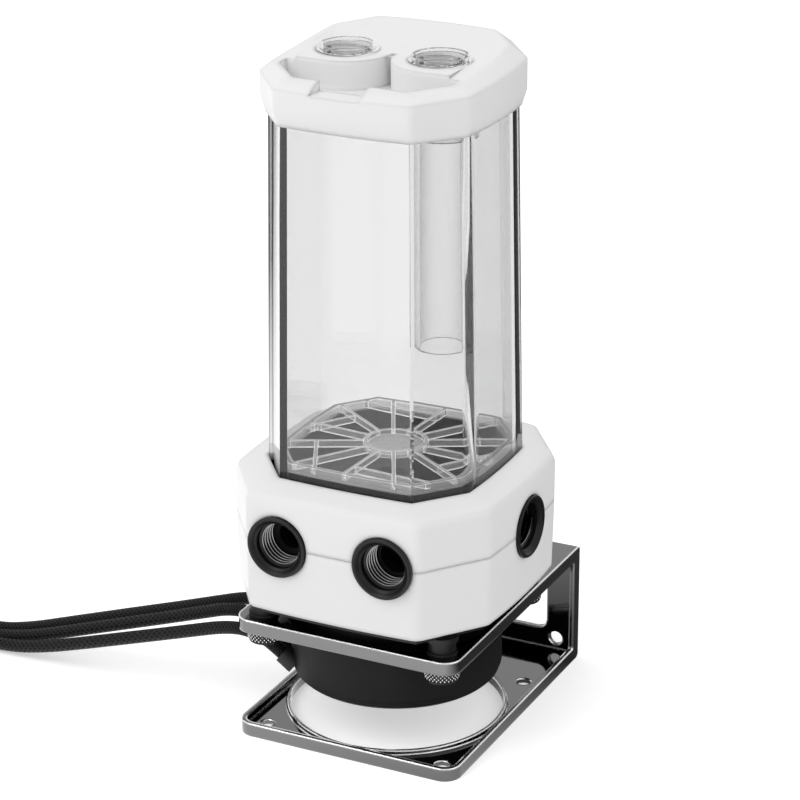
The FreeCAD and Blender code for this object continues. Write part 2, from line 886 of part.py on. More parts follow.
def manifold():
    """Black block over the pump: volute below, passages to the ports, and a floor and
    rim that close the tank from below."""
    body = new_body("manifold")
    low, step, top = size.manifold_bottom, size.manifold_step, size.manifold_top
    base = sketch(body, "base", raised=low)
    octagon(base, CORE)
    pad(body, "block", base, step - low)
    shelf = sketch(body, "shelf", raised=step)
    octagon(shelf, CORE_TOP)
    pad(body, "shoulder", shelf, top - step)
    inside = inset(tank_outline(size.rim_top), size.tank_wall + size.rim_gap)
    raised = sketch(body, "raised_floor", raised=top)
    octagon(raised, inside)
    pad(body, "floor", raised, size.floor_rise)
    wall = sketch(body, "rim_plan", raised=top)
    octagon(wall, inside)
    octagon(wall, inset(inside, size.rim_wall))
    pad(body, "rim", wall, size.rim_top - top)
    volute = circles(body, "volute_plan", [(ZERO, ZERO)], size.volute_radius, low)
    pocket(body, "volute", volute, size.volute_depth, up=True)
    eye = circles(body, "inlet_plan", [(ZERO, ZERO)], size.inlet_radius, low)
    pocket(body, "inlet", eye, top - size.inlet_roof - low, up=True)
    slot = sketch(body, "slot_plan", raised=top + size.floor_rise)
    reach, narrow = size.slot_half_length - size.slot_radius, size.slot_radius
    end = reach + narrow
    outline(slot, [(reach, -narrow), (end, 0), (reach, narrow), (-reach, narrow),
                   (-end, 0), (-reach, -narrow)],
            {0: narrow, 1: narrow, 3: narrow, 4: narrow})
    pocket(body, "floor_slot", slot, top + size.floor_rise - low - size.volute_depth)
    groove = sketch(body, "ring_groove", raised=low)
    circle(groove, 0, 0, size.ring_radius + size.ring_section + size.slip_gap)
    circle(groove, 0, 0, size.ring_radius - size.ring_section - size.slip_gap)
    pocket(body, "seal_groove", groove, size.ring_section * 2, up=True)
    height = size.port_height
    front = circles(body, "front_ports", [(HALF_PORTS, height), (-HALF_PORTS, height)],
                    size.port_neck, FRONT_SEAT, "XZ_Plane")
    pocket(body, "front_bores", front, size.port_length)
    outlet = circles(body, "outlet", [(HALF_PORTS, height)], size.outlet_radius,
                     FRONT_SEAT, "XZ_Plane")
    throat = leg(size.volute_radius, HALF_PORTS)
    pocket(body, "outlet_passage", outlet, FRONT_SEAT - throat + size.outlet_radius)
    riser = circles(body, "riser", [(HALF_PORTS, -throat)], size.riser_radius, low + 2)
    pocket(body, "outlet_riser", riser, height - low - 2, up=True)
    fill = circles(body, "fill", [(-HALF_PORTS, height)], size.passage_radius,
                   FRONT_SEAT, "XZ_Plane")
    pocket(body, "fill_passage", fill, FRONT_SEAT + size.side_port_y)
    side = circles(body, "cross", [(size.side_port_y, height)], size.cross_radius,
                   role="YZ_Plane")
    pocket(body, "cross_passage", side, SIDE_SEAT * 2, both=True)
    for name, start, up in (("right", SIDE_SEAT, False), ("left", -SIDE_SEAT, True)):
        port = circles(body, f"{name}_port", [(size.side_port_y, height)],
                       size.port_neck, start, "YZ_Plane")
        pocket(body, f"{name}_bore", port, size.port_length, up=up)
    screws = circles(body, "clamp_screws", four(size.screw_x, size.screw_y),
                     size.screw_radius + size.screw_gap, low)
    pocket(body, "clamp_holes", screws, size.screw_length, up=True)
    seal = sketch(body, "seal_plan", raised=top)
    octagon(seal, inset(TANK_BASE, size.seal_inset - size.slip_gap))
    octagon(seal, inset(TANK_BASE, size.seal_inset + size.seal_width + size.slip_gap))
    pocket(body, "tank_seal_groove", seal, size.seal_height)
    tank_screws = circles(body, "tank_screw_plan",
                          four(size.tank_screw_x, size.tank_screw_y),
                          size.screw_radius + size.screw_gap, top)
    pocket(body, "tank_screw_holes", tank_screws, size.tank_screw_length)
    return body


def screws(label, places, seat, head, head_height, length, up):
    """Cap screws that point up from seat, or down from it."""
    body = new_body(label)
    heads = circles(body, "heads", places, head, seat)
    pad(body, "head", heads, head_height, down=not up)
    shanks = circles(body, "shanks", places, size.screw_radius, seat)
    pad(body, "shank", shanks, length, down=not up)
    return body


def port_bushing(label, x, y, turn):
    """Threaded bushing whose flange clamps both shells of the cowl to the manifold."""
    body = new_body(label)
    bore, neck, flange = size.port_bore, size.port_neck, size.port_flange
    face, lead, ring = size.port_flange_height, size.port_lead_in, size.port_ring
    inner_ring = flange - lead
    profile = sketch(body, "profile")
    outline(profile, [
        (bore, size.port_length), (bore, lead - face + ring),
        (bore + lead, ring - face), (inner_ring - ring, ring - face),
        (inner_ring, -face), (flange - 0.2, -face), (flange, 0.2 - face), (flange, 0),
        (neck, 0), (neck, size.port_length),
    ])
    revolve(body, "bushing", profile)
    move(body, x, y, size.port_height, turn=turn)
    return body


def port_cuts(body, side, parting):
    """Round openings for the four bushings in one shell, with a flat seat outside."""
    front = [(HALF_PORTS, size.port_height), (-HALF_PORTS, size.port_height)]
    across = [(size.side_port_y, size.port_height)]
    hole = size.port_neck + size.port_seat_gap
    seat = size.port_flange + size.port_seat_gap
    for name, places, role, start, up in (
        ("front", front, "XZ_Plane", FRONT_SEAT, False),
        ("right", across, "YZ_Plane", SIDE_SEAT, False),
        ("left", across, "YZ_Plane", -SIDE_SEAT, True),
    ):
        opening = circles(body, f"{name}_opening", places, hole, start, role)
        pocket(body, f"{name}_hole", opening, size.cowl_wall * 4, up=up)
        face = circles(body, f"{name}_face", places, seat, start, role)
        last = pocket(body, f"{name}_seat", face, size.cowl_wall * 2, up=not up)
    return last


def lower_cowl():
    """Lower white shell, open below, that widens up to the parting line."""
    body = new_body("lower_cowl")
    low, high = size.cowl_bottom, size.port_height - size.parting_gap / 2
    loft_octagons(body, "outer", [(low, COWL_FOOT), (high, COWL)],
                  edge=size.cowl_edge)
    loft_octagons(body, "inner", [(low, inset(COWL_FOOT, size.cowl_wall)),
                                  (high, inset(COWL, size.cowl_wall))], cut=True)
    port_cuts(body, "lower", high)
    return body


def upper_cowl():
    """Upper white shell with a sloping shoulder up to the tank."""
    body = new_body("upper_cowl")
    low = size.port_height + size.parting_gap / 2
    crest, top, wall = size.cowl_crest, size.cowl_top, size.cowl_wall
    mouth = tank_outline(size.cowl_top)
    edge = inset(mouth, -(size.collar_lip + size.cowl_gap))
    cut, reach = size.crest_cut, COWL.half_x - edge.half_x
    loft_octagons(body, "outer", [
        (low, COWL), (crest - cut, COWL),
        (crest - cut * 0.23, between(COWL, edge, cut * 0.28 / reach)),
        (crest + (top - crest) * cut / reach, between(COWL, edge, cut / reach)), (top, edge),
    ], edge=size.cowl_edge)
    inner = inset(COWL, wall)
    loft_octagons(body, "inner", [(low, inner), (crest - wall, inner),
                                  (top - wall, inset(edge, wall / 2))], cut=True)
    opening = sketch(body, "opening_plan", raised=top)
    octagon(opening, inset(mouth, -size.cowl_gap))
    pocket(body, "opening", opening, wall * 2)
    port_cuts(body, "upper", low)
    return body


# ---------------------------------------------------------------- tank
NECKS = [(size.neck_spacing / 2, ZERO), (-size.neck_spacing / 2, ZERO)]


def reservoir_tank():
    """Clear one-piece tank: walls with a little draft, a flange below, and two
    threaded necks that stand up through the cover."""
    body = new_body("reservoir_tank")
    low, top, wall = size.manifold_top, size.tank_top, size.tank_wall
    loft_octagons(body, "outer", [(low, TANK_BASE), (top, TANK_END)])
    foot = sketch(body, "flange_plan", raised=low)
    octagon(foot, inset(TANK_BASE, -size.tank_flange))
    pad(body, "flange", foot, size.tank_flange_height)
    collars = circles(body, "collar_plan", NECKS, size.neck_collar, top)
    pad(body, "collars", collars, size.deck + size.collar_proud - top)
    necks = circles(body, "neck_plan", NECKS, size.neck_radius, top)
    pad(body, "necks", necks, size.neck_top - top)
    ceiling = top - size.tank_ceiling
    loft_octagons(body, "inner", [(low, inset(TANK_BASE, wall)),
                                  (ceiling, inset(tank_outline(ceiling), wall))],
                  cut=True)
    socket = size.dip_radius + size.dip_gap
    ring = circles(body, "socket_plan", NECKS[:1], socket + size.socket_wall, ceiling)
    pad(body, "socket", ring, size.socket_height, down=True)
    seat = circles(body, "socket_bore", NECKS[:1], socket, ceiling)
    pocket(body, "socket_seat", seat, size.socket_height)
    bores = circles(body, "bore_plan", NECKS, size.port_bore, size.neck_top)
    pocket(body, "bores", bores, size.neck_top - ceiling)
    places = four(size.tank_screw_x, size.tank_screw_y)
    face = low + size.tank_flange_height
    holes = circles(body, "screw_plan", places, size.screw_radius + size.screw_gap, face)
    pocket(body, "screw_holes", holes, size.tank_flange_height)
    heads = circles(body, "head_plan", places, size.tank_screw_head + size.screw_gap,
                    face)
    pocket(body, "head_seats", heads, size.tank_screw_head_height)
    return body


def tank_seal():
    """Square-section seal that follows the tank's wall."""
    body = new_body("tank_seal")
    ring = sketch(body, "ring", raised=size.manifold_top)
    octagon(ring, inset(TANK_BASE, size.seal_inset))
    octagon(ring, inset(TANK_BASE, size.seal_inset + size.seal_width))
    pad(body, "seal", ring, size.seal_height, down=True)
    return body


def dip_tube():
    """Clear tube that carries the returning coolant down under its surface."""
    body = new_body("dip_tube")
    top = size.tank_top - size.tank_ceiling
    ring = sketch(body, "ring", raised=size.dip_bottom)
    circle(ring, *NECKS[0], size.dip_radius)
    circle(ring, *NECKS[0], size.dip_radius - size.dip_wall)
    pad(body, "tube", ring, top - size.dip_bottom)
    return body


def anti_vortex_grate():
    """Clear grate: twelve ribs from a hub to an octagonal rim, with a cross rib on
    every other one."""
    body = new_body("anti_vortex_grate")
    low, high = size.rim_top, size.rim_top + size.grate_height
    rim = inset(tank_outline(high), size.tank_wall + size.grate_gap)
    ribs_low, half = high - size.rib_height, size.rib_width / 2
    rib = sketch(body, "rib_plan", raised=ribs_low, spin=size.rib_turn)
    box_outline(rib, size.hub_radius - size.hub_wall, -half, size.tank_base_half * 1.4,
                half)
    ribs = around(body, "ribs", pad(body, "rib", rib, size.rib_height), 12)
    cross = sketch(body, "cross_plan", raised=ribs_low, spin=size.rib_turn)
    place = size.cross_rib_place
    box_outline(cross, place - half, 0, place + half, size.tank_base_half)
    around(body, "cross_ribs", pad(body, "cross_rib", cross, size.rib_height), 6)
    trim = sketch(body, "trim_plan", raised=ribs_low)
    circle(trim, 0, 0, size.tank_base_half * 2)
    octagon(trim, inset(rim, size.grate_rim / 2))
    body.Tip = pocket(body, "trim", trim, size.rib_height, up=True)
    edge = sketch(body, "rim_plan", raised=low)
    octagon(edge, rim)
    octagon(edge, inset(rim, size.grate_rim))
    body.Tip = pad(body, "rim", edge, size.grate_height)
    hub = sketch(body, "hub_plan", raised=ribs_low)
    circle(hub, 0, 0, size.hub_radius)
    body.Tip = pad(body, "hub", hub, size.rib_height)
    dish = circles(body, "dish_plan", [(ZERO, ZERO)], size.hub_radius - size.hub_wall,
                   high)
    body.Tip = pocket(body, "dish", dish, size.rib_height - size.hub_floor)
    return body


# ---------------------------------------------------------------- cover
def top_cover():
    """White cover: bevelled rim that rises to the back, a deck round the necks, a
    trough in front of it and a notch in the front rim."""
    body = new_body("top_cover")
    plan = Octagon(size.cover_half, size.cover_half, size.cover_leg_x, size.cover_leg_y,
                   size.cover_bow)
    sections = []
    for name, height, tilt, shape in (
        ("skirt", size.cover_bottom, None, inset(plan, size.skirt_draft)),
        ("widest", size.tank_top, None, plan),
        ("crest", size.cover_crest, size.crest_tilt, plan),
        ("rim", size.cover_rim, size.rim_tilt, inset(plan, size.cover_bevel)),
    ):
        section = sketch(body, name, raised=height, tilt=tilt)
        octagon(section, shape, size.cover_edge)
        sections.append(section)
    loft(body, "shell", sections)
    side, deck, half = size.trough_half, size.deck, size.deck_half
    back, corner, front = size.deck_back, size.deck_corner, -size.deck_start
    low = sketch(body, "deck_plan", raised=deck)
    outline(low, [(half, front), (half, back - corner), (half - corner, back),
                  (corner - half, back), (-half, back - corner), (-half, front)])
    high = sketch(body, "rim_plan", raised=size.cover_rim, tilt=size.rim_tilt)
    shoulder = side - size.trough_leg
    outline(high, [(side, front), (side, shoulder), (shoulder, side),
                   (-shoulder, side), (-side, shoulder), (-side, front)])
    loft(body, "deck_cut", [low, high], cut=True)
    proud = sketch(body, "proud_plan", raised=deck)
    box_outline(proud, -half, -size.boss_radius, half, back - corner)
    pad(body, "deck", proud, size.deck_thickness, down=True)
    top = deck + 8
    trough = sketch(body, "trough_plan", raised=deck)
    boss, neck, slit = size.boss_radius, size.neck_spacing / 2, size.slit_half
    meet = -leg(boss, neck - slit)
    outline(trough, [
        (-side, -boss), (-side, size.trough_leg - side), (size.trough_leg - side, -side),
        (side - size.trough_leg, -side), (side, size.trough_leg - side), (side, -boss),
        (neck, -boss), (slit, meet), (slit, size.slit_end), (-slit, size.slit_end),
        (-slit, meet), (-neck, -boss),
    ], {6: -boss, 10: -boss})
    pocket(body, "trough", trough, deck - size.trough_floor)
    notch = sketch(body, "notch_plan", raised=size.notch_floor)
    box_outline(notch, -size.notch_centre - size.notch_half, -size.cover_half - 3,
                size.notch_half - size.notch_centre, 1 - side)
    pocket(body, "notch", notch, top - size.notch_floor, up=True)
    pocket(body, "neck_holes",
           circles(body, "neck_plan", NECKS, size.neck_collar + size.neck_gap, top),
           top - size.cover_bottom)
    inside = sketch(body, "inside", raised=size.cover_bottom)
    octagon(inside, inset(plan, size.cover_wall))
    pocket(body, "hollow", inside, size.tank_top + size.cover_gap - size.cover_bottom,
           up=True)
    roof = deck - size.deck_thickness - size.tank_top - size.cover_gap
    low = size.tank_top + size.cover_gap
    cores = circles(body, "cores", NECKS, boss - size.boss_wall, low)
    pocket(body, "boss_hollows", cores, roof, up=True)
    rear = sketch(body, "rear_core", raised=low)
    box_outline(rear, size.trough_leg - side + size.boss_wall,
                boss + size.boss_wall, side - size.trough_leg - size.boss_wall,
                side - size.boss_wall)
    pocket(body, "rear_hollow", rear, roof, up=True)
    return body


# ---------------------------------------------------------------- leads
def ball_route(points, name):
    """Straight runs joined by tangent arcs, each 0.45 of its shorter run."""
    places = [FreeCAD.Vector(*point) for point in points]
    parts, start, radii = [], places[0], []
    for before, here, after in zip(places, places[1:], places[2:]):
        run_in, run_out = here - before, after - here
        turn = run_in.getAngle(run_out)
        cut = 0.45 * min(run_in.Length, run_out.Length)
        radius = cut / math.tan(turn / 2)
        radii.append(radius)
        first = here - FreeCAD.Vector(run_in).normalize() * cut
        last = here + FreeCAD.Vector(run_out).normalize() * cut
        middle = (first + last) * 0.5
        inward = (middle - here).normalize()
        centre = here + inward * math.hypot(radius, cut)
        crown = centre - inward * radius
        parts.append(Part.LineSegment(start, first).toShape())
        parts.append(Part.Arc(first, crown, last).toShape())
        start = last
    parts.append(Part.LineSegment(start, places[-1]).toShape())
    tight = min(radii) / SIZES["cable_radius"] / 2
    print(f"{name}: radii {[round(r, 1) for r in radii]}, least {tight:.1f} diameters")
    return Part.Wire(parts)


def tube(label, points):
    path = ball_route(points, label)
    heading = FreeCAD.Vector(*points[1]) - FreeCAD.Vector(*points[0])
    ring = Part.Circle(FreeCAD.Vector(*points[0]), heading, SIZES["cable_radius"])
    section = Part.Wire([ring.toShape()])
    shape = path.makePipeShell([section], True, False)
    expected = math.pi * SIZES["cable_radius"] ** 2 * path.Length
    print(f"{label}: {path.Length:.1f} mm, volume share {shape.Volume / expected:.4f}")
    made = piece("Part::Feature", label)
    made.Shape = shape
    return made


FLOOR_LINE = SIZES["coil_lift"] + SIZES["cable_radius"]
COIL_FACE = SIZES["coil_reach"] - SIZES["coil_x"]
COIL_EXIT = FLOOR_LINE + SIZES["coil_turns"] * SIZES["cable_radius"] * 2.02
LEAD_TURN = {"power": 25.2, "pwm": 21.0, "light": 16.8}

# points of each lead from the motor to the coil, in millimetres
LEADS = {
    "power": [
        (-32.3, -7.2, 29.6), (-36.8, -7.2, 29.6), (-44.5, -8.2, 28.9),
        (-53.5, -9.4, 26.2), (-64.0, -10.3, 22.8), (-77.0, -10.9, 18.6),
        (-91.0, -11.2, 13.9), (-104.5, -11.4, 9.3), (-116.0, -11.7, 5.4),
        (-127.0, -12.2, 2.9), (-139.5, -12.0, FLOOR_LINE),
    ],
    "pwm": [
        (-29.2, -13.0, 19.4), (-31.6, -13.3, 22.6), (-35.2, -13.7, 25.8),
        (-40.6, -13.9, 27.8), (-47.2, -14.0, 27.4), (-55.5, -14.4, 24.6),
        (-67.0, -14.9, 20.7), (-80.0, -15.4, 16.4), (-93.5, -15.6, 11.8),
        (-106.0, -15.8, 7.5), (-117.0, -16.0, 4.1), (-128.0, -16.4, FLOOR_LINE),
        (-140.0, -16.2, FLOOR_LINE),
    ],
    "light": [
        (-26.6, -19.2, 20.0), (-29.6, -19.5, 22.4), (-33.6, -19.7, 24.5),
        (-39.2, -19.6, 25.3), (-46.0, -19.5, 24.2), (-55.0, -19.6, 21.3),
        (-66.5, -19.9, 17.6), (-80.0, -20.1, 13.3), (-93.5, -20.1, 8.9),
        (-106.0, -20.2, 5.1), (-117.0, -20.3, 2.7), (-128.0, -20.6, FLOOR_LINE),
        (-140.0, -20.4, FLOOR_LINE),
    ],
}
# where each lead enters its connector
PLUG_X = -125.5
PLUGS = {
    "power": (PLUG_X, -74.4, SIZES["power_plug_height"] / 2),
    "pwm": (PLUG_X, -57.4, SIZES["fan_plug_height"] / 2),
    "light": (PLUG_X, -47.2, SIZES["light_plug_height"] / 2),
}


def s_bend(start, end, steps):
    """Corner points of an S of two equal arcs that leaves and arrives along X."""
    along = end[0] - start[0]
    rise = math.hypot(end[1] - start[1], end[2] - start[2])
    across = ((end[1] - start[1]) / rise, (end[2] - start[2]) / rise)
    radius = (along ** 2 + rise ** 2) / (4 * rise)
    step = math.asin(along / 2 / radius) / steps
    points = []
    for index in range(steps):
        angle, reach = (index + 0.5) * step, radius / math.cos(step / 2)
        points.append((reach * math.sin(angle), radius - reach * math.cos(angle)))
    points += [(along - x, rise - offset) for x, offset in reversed(points)]
    return [(start[0] + x, start[1] + across[0] * offset, start[2] + across[1] * offset)
            for x, offset in points]


def lead(name, label, tail_label):
    """One lead from its gland to the coil, and its tail from the coil to its plug."""
    turn = LEAD_TURN[name]
    enter = (COIL_FACE, turn - SIZES["coil_y"], FLOOR_LINE)
    leave = (COIL_FACE, -turn - SIZES["coil_y"], COIL_EXIT)
    tube(label, LEADS[name] + [enter])
    plug = PLUGS[name]
    straight = 2.0
    bend = s_bend((leave[0] + straight, leave[1], leave[2]),
                  (plug[0] - straight, plug[1], plug[2]), 3)
    tube(tail_label, [leave] + bend + [plug])


def cable_glands():
    """Three rubber sleeves on the motor's side that the leads come out of."""
    sleeves = []
    for name, points in LEADS.items():
        mouth, after = FreeCAD.Vector(*points[0]), FreeCAD.Vector(*points[1])
        inward = (mouth - after).normalize()
        sleeve = doc.addObject("Part::Cylinder", f"{name}_gland")
        bind(sleeve, "Radius", size.gland_radius)
        bind(sleeve, "Height", size.gland_length)
        turned = FreeCAD.Rotation(FreeCAD.Vector(0, 0, 1), inward)
        sleeve.Placement = FreeCAD.Placement(mouth, turned)
        sleeves.append(sleeve)
    case = doc.addObject("Part::Cylinder", "gland_trim")
    bind(case, "Radius", size.motor_radius)
    bind(case, "Height", size.manifold_bottom)
    group = doc.addObject("Part::MultiFuse", "gland_group")
    group.Shapes = sleeves
    made = piece("Part::Cut", "cable_glands")
    made.Base = group
    made.Tool = case
    return made


def cable_coil():
    """The coiled length of the three leads, with a flat face for each end."""
    body = new_body("cable_coil")
    thick = size.cable_radius + size.coil_fit
    outer, inner = LEAD_TURN["power"] + thick, LEAD_TURN["light"] - thick
    low, x, y = size.coil_lift, -size.coil_x, -size.coil_y
    high = COIL_EXIT + size.cable_radius
    ring = sketch(body, "ring", raised=low)
    circle(ring, x, y, outer)
    circle(ring, x, y, inner)
    pad(body, "turns", ring, high - low)
    enter = sketch(body, "enter", raised=low)
    box_outline(enter, x, y + inner, COIL_FACE, y + outer)
    pad(body, "way_in", enter, size.cable_radius * 2 + size.coil_fit)
    leave = sketch(body, "leave", raised=COIL_EXIT - size.cable_radius)
    box_outline(leave, x, y - outer, COIL_FACE, y - inner)
    pad(body, "way_out", leave, size.cable_radius * 2)
    return body


def cable_tie():
    """Strap round the coil on the side away from the leads' ends."""
    body = new_body("cable_tie")
    thick, strap = size.cable_radius + size.coil_fit, size.tie_thickness
    outer, inner = LEAD_TURN["power"] + thick, LEAD_TURN["light"] - thick
    low, high = size.coil_lift, COIL_EXIT + size.cable_radius
    x, y = -size.coil_x, -size.coil_y
    slack = size.tie_slack
    loop = sketch(body, "loop", "XZ_Plane", -y)
    box_outline(loop, x - outer - strap - slack, low - strap, x - inner + strap + slack,
                high + strap)
    box_outline(loop, x - outer - slack, low, x - inner + slack, high)
    pad(body, "strap", loop, size.tie_width, both=True)
    return body


def plug(label, name, length, width, height, pins, pin_radius):
    """A connector shell with a row of round sockets in its front face."""
    body = new_body(label)
    x, y, _ = PLUGS[name]
    shell = sketch(body, "shell", "YZ_Plane", as_size(x))
    box_outline(shell, y - width / 2, 0, y + width / 2, height)
    pad(body, "case", shell, length)
    pitch = width / pins
    places = [(y + pitch * (index - (pins - 1) / 2), height / 2)
              for index in range(pins)]
    sockets = circles(body, "sockets", places, pin_radius, x + length, "YZ_Plane")
    pocket(body, "socket_holes", sockets, length * 0.6)
    return body


# ---------------------------------------------------------------- assembly
mounting_bracket()
clamp_ring()
threaded_inserts()
for number, (x, y) in enumerate(BOLTS, start=1):
    thumbscrew(number, x, y)
pump_housing()
motor_end_cap()
control_board()
stator_core()
stator_coils()
separation_can()
bearing_ball()
rotor_magnet()
impeller()
flange_seal()
manifold()
screws("manifold_screws", four(size.screw_x, size.screw_y),
       size.ring_bottom + size.ear_thickness, size.screw_head, size.screw_head_height,
       size.screw_length, True)
lower_cowl()
upper_cowl()
port_bushing("front_left_bushing", -HALF_PORTS, -FRONT_SEAT, 0)
port_bushing("front_right_bushing", HALF_PORTS, -FRONT_SEAT, 0)
port_bushing("right_bushing", SIDE_SEAT, size.side_port_y, 90)
port_bushing("left_bushing", -SIDE_SEAT, size.side_port_y, -90)
reservoir_tank()
tank_seal()
screws("tank_screws", four(size.tank_screw_x, size.tank_screw_y),
       size.manifold_top + size.tank_flange_height, size.tank_screw_head,
       size.tank_screw_head_height, size.tank_screw_length, False)
anti_vortex_grate()
dip_tube()
top_cover()
cable_glands()
lead("power", "power_cable", "power_tail")
lead("pwm", "pwm_cable", "pwm_tail")
lead("light", "light_cable", "light_tail")
cable_coil()
cable_tie()
plug("power_plug", "power", size.power_plug_length, size.power_plug_width,
     size.power_plug_height, 5, 0.9)
plug("fan_plug", "pwm", size.fan_plug_length, size.fan_plug_width,
     size.fan_plug_height, 4, 0.7)
plug("light_plug", "light", size.light_plug_length, size.light_plug_width,
     size.light_plug_height, 3, 0.6)
doc.recompute()

# ---------------------------------------------------------------- check and write
faults = []
for item in doc.Objects:
    if "Invalid" in item.State or "Error" in item.State:
        faults.append(f"{item.Name}: {item.State}")
for found in PIECES:
    shape = found.Shape
    if shape.isNull() or not shape.isValid() or shape.Volume <= 0:
        faults.append(f"{found.Label}: shape is not sound")
if faults:
    raise RuntimeError("; ".join(faults))
os.makedirs("parts", exist_ok=True)
for found in PIECES:
    found.Shape.exportStep(f"parts/{found.Label}.step")
    print(f"{found.Label}: {found.Shape.Volume:.0f} mm3, {len(found.Shape.Solids)} solid")
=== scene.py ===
import math

import bpy
from mathutils import Matrix, Vector


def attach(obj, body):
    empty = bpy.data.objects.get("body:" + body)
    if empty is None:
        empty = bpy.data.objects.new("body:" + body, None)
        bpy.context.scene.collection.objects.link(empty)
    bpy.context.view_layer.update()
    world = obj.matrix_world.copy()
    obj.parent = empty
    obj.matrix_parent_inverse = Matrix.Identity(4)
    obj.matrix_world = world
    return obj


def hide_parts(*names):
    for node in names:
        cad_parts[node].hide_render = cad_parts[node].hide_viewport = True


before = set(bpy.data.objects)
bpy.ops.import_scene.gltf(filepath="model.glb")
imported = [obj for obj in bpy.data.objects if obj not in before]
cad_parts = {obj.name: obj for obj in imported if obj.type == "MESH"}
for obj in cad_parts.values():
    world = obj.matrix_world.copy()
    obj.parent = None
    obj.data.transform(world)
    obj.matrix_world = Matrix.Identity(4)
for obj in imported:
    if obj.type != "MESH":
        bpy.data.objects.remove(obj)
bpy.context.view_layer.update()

# ---------------------------------------------------------------- studio
# A pale floor under the pump, evenly bright to the camera, with a painted reflection for
# mirrors, a white surround, one soft lamp high on the left of the two-port face and a weak
# one low on its right. The camera looks along the front, a little from the right.
MM = 0.001
CAMERA_PLACE = Vector((328.4, -656.0, 388.3)) * MM
CAMERA_AIM = Vector((1.094, 0.545, 95.03)) * MM
CAMERA_LENS = 128.98
CAMERA_ROLL = -0.25
SURROUND_LIGHT = 0.77
LAMP_PLACE = Vector((-0.55, -0.75, 1.15))
LAMP_AIM = Vector((0, 0, 0.1))
LAMP_POWER = 6.0
LAMP_SIZE = 0.9
FILL_PLACE = Vector((1.0, -0.15, 0.35))
FILL_POWER = 0.85
FLOOR_SIZE = 12
FLOOR_GLOW = 0.45
# Painted reflection: the floor's extra glow for mirror rays, and the black it is painted for
# them behind the pump.
PAINTED_REFLECTION_GLOW = 0.6
PAPER_WHITE = (0.9, 0.9, 0.9, 1)
PAINTED_REFLECTION_BLACK = (0.12, 0.12, 0.12, 1)
PAINTED_REFLECTION_WAY = (0.6, 0.8)
PAINTED_REFLECTION_START = -0.04
PAINTED_REFLECTION_FULL = 0.06


def deselect():
    if bpy.context.object and bpy.context.object.mode != "OBJECT":
        bpy.ops.object.mode_set(mode="OBJECT")
    bpy.ops.object.select_all(action="DESELECT")


def aim(thing, target):
    thing.rotation_euler = (target - thing.location).to_track_quat("-Z", "Y").to_euler()


def link(tree, source, target):
    tree.links.new(source, target)


def shader(tree, kind, sockets=None, **settings):
    """A shader node with its settings, and the values of its input sockets."""
    made = tree.nodes.new(f"ShaderNode{kind}")
    for name, value in settings.items():
        setattr(made, name, value)
    for name, value in (sockets or {}).items():
        made.inputs[name].default_value = value
    return made


def math_node(tree, operation, first, second=None, clamp=False):
    """One sum on two sockets or numbers."""
    made = shader(tree, "Math", operation=operation, use_clamp=clamp)
    for socket, value in zip(made.inputs, (first, second)):
        if value is None:
            continue
        if isinstance(value, (int, float)):
            socket.default_value = value
        else:
            link(tree, value, socket)
    return made.outputs[0]


def seen(tree, light, look):
    """light for the rays that light the object, look for those that see the surface."""
    path = shader(tree, "LightPath").outputs
    rays = math_node(tree, "MAXIMUM", path["Is Camera Ray"], path["Is Glossy Ray"])
    rays = math_node(tree, "MAXIMUM", rays, path["Is Transmission Ray"])
    strength = shader(tree, "MapRange", {"To Min": light, "To Max": look})
    link(tree, rays, strength.inputs["Value"])
    return strength.outputs["Result"]


def floor_with_painted_reflection(tree, surface):
    """The paper glows for rays that see it. Painted reflection: for mirror rays it is painted
    bright before the pump on the left, falling off to black behind it on the right, and it glows
    brighter there than to the camera."""
    place = shader(tree, "SeparateXYZ")
    link(tree, shader(tree, "TexCoord").outputs["Object"], place.inputs[0])
    right, back = PAINTED_REFLECTION_WAY
    behind = math_node(tree, "ADD", math_node(tree, "MULTIPLY", place.outputs["X"], right),
                       math_node(tree, "MULTIPLY", place.outputs["Y"], back))
    painted_reflection_dark = shader(tree, "MapRange", {"From Min": PAINTED_REFLECTION_START, "From Max": PAINTED_REFLECTION_FULL})
    link(tree, behind, painted_reflection_dark.inputs["Value"])
    path = shader(tree, "LightPath").outputs
    mirrored = math_node(tree, "SUBTRACT", path["Is Glossy Ray"], path["Is Transmission Ray"],
                         clamp=True)
    # Painted reflection: the black laid on the paper for mirror rays behind the pump.
    black = math_node(tree, "MULTIPLY", painted_reflection_dark.outputs["Result"], mirrored)
    colour = shader(tree, "Mix", {"A": PAPER_WHITE, "B": PAINTED_REFLECTION_BLACK}, data_type="RGBA")
    link(tree, black, colour.inputs["Factor"])
    link(tree, colour.outputs["Result"], surface.inputs["Base Color"])
    glow = math_node(tree, "ADD", seen(tree, 0.0, FLOOR_GLOW),
                     math_node(tree, "MULTIPLY", mirrored, PAINTED_REFLECTION_GLOW))
    link(tree, math_node(tree, "MULTIPLY", glow, math_node(tree, "SUBTRACT", 1.0, black)),
         surface.inputs["Emission Strength"])


def area_lamp(name, place, power):
    """A square lamp that faces the middle of the pump."""
    bpy.ops.object.light_add(type="AREA", location=place)
    lamp = bpy.context.object
    lamp.name = name
    lamp.data.size = LAMP_SIZE
    lamp.data.energy = power
    aim(lamp, LAMP_AIM)


deselect()
bpy.ops.object.camera_add(location=CAMERA_PLACE)
camera = bpy.context.object
aim(camera, CAMERA_AIM)
camera.data.lens = CAMERA_LENS
camera.data.clip_end = 50
camera.rotation_euler.rotate_axis("Z", math.radians(CAMERA_ROLL))
bpy.context.scene.camera = camera
bpy.context.scene.view_settings.view_transform = "Standard"

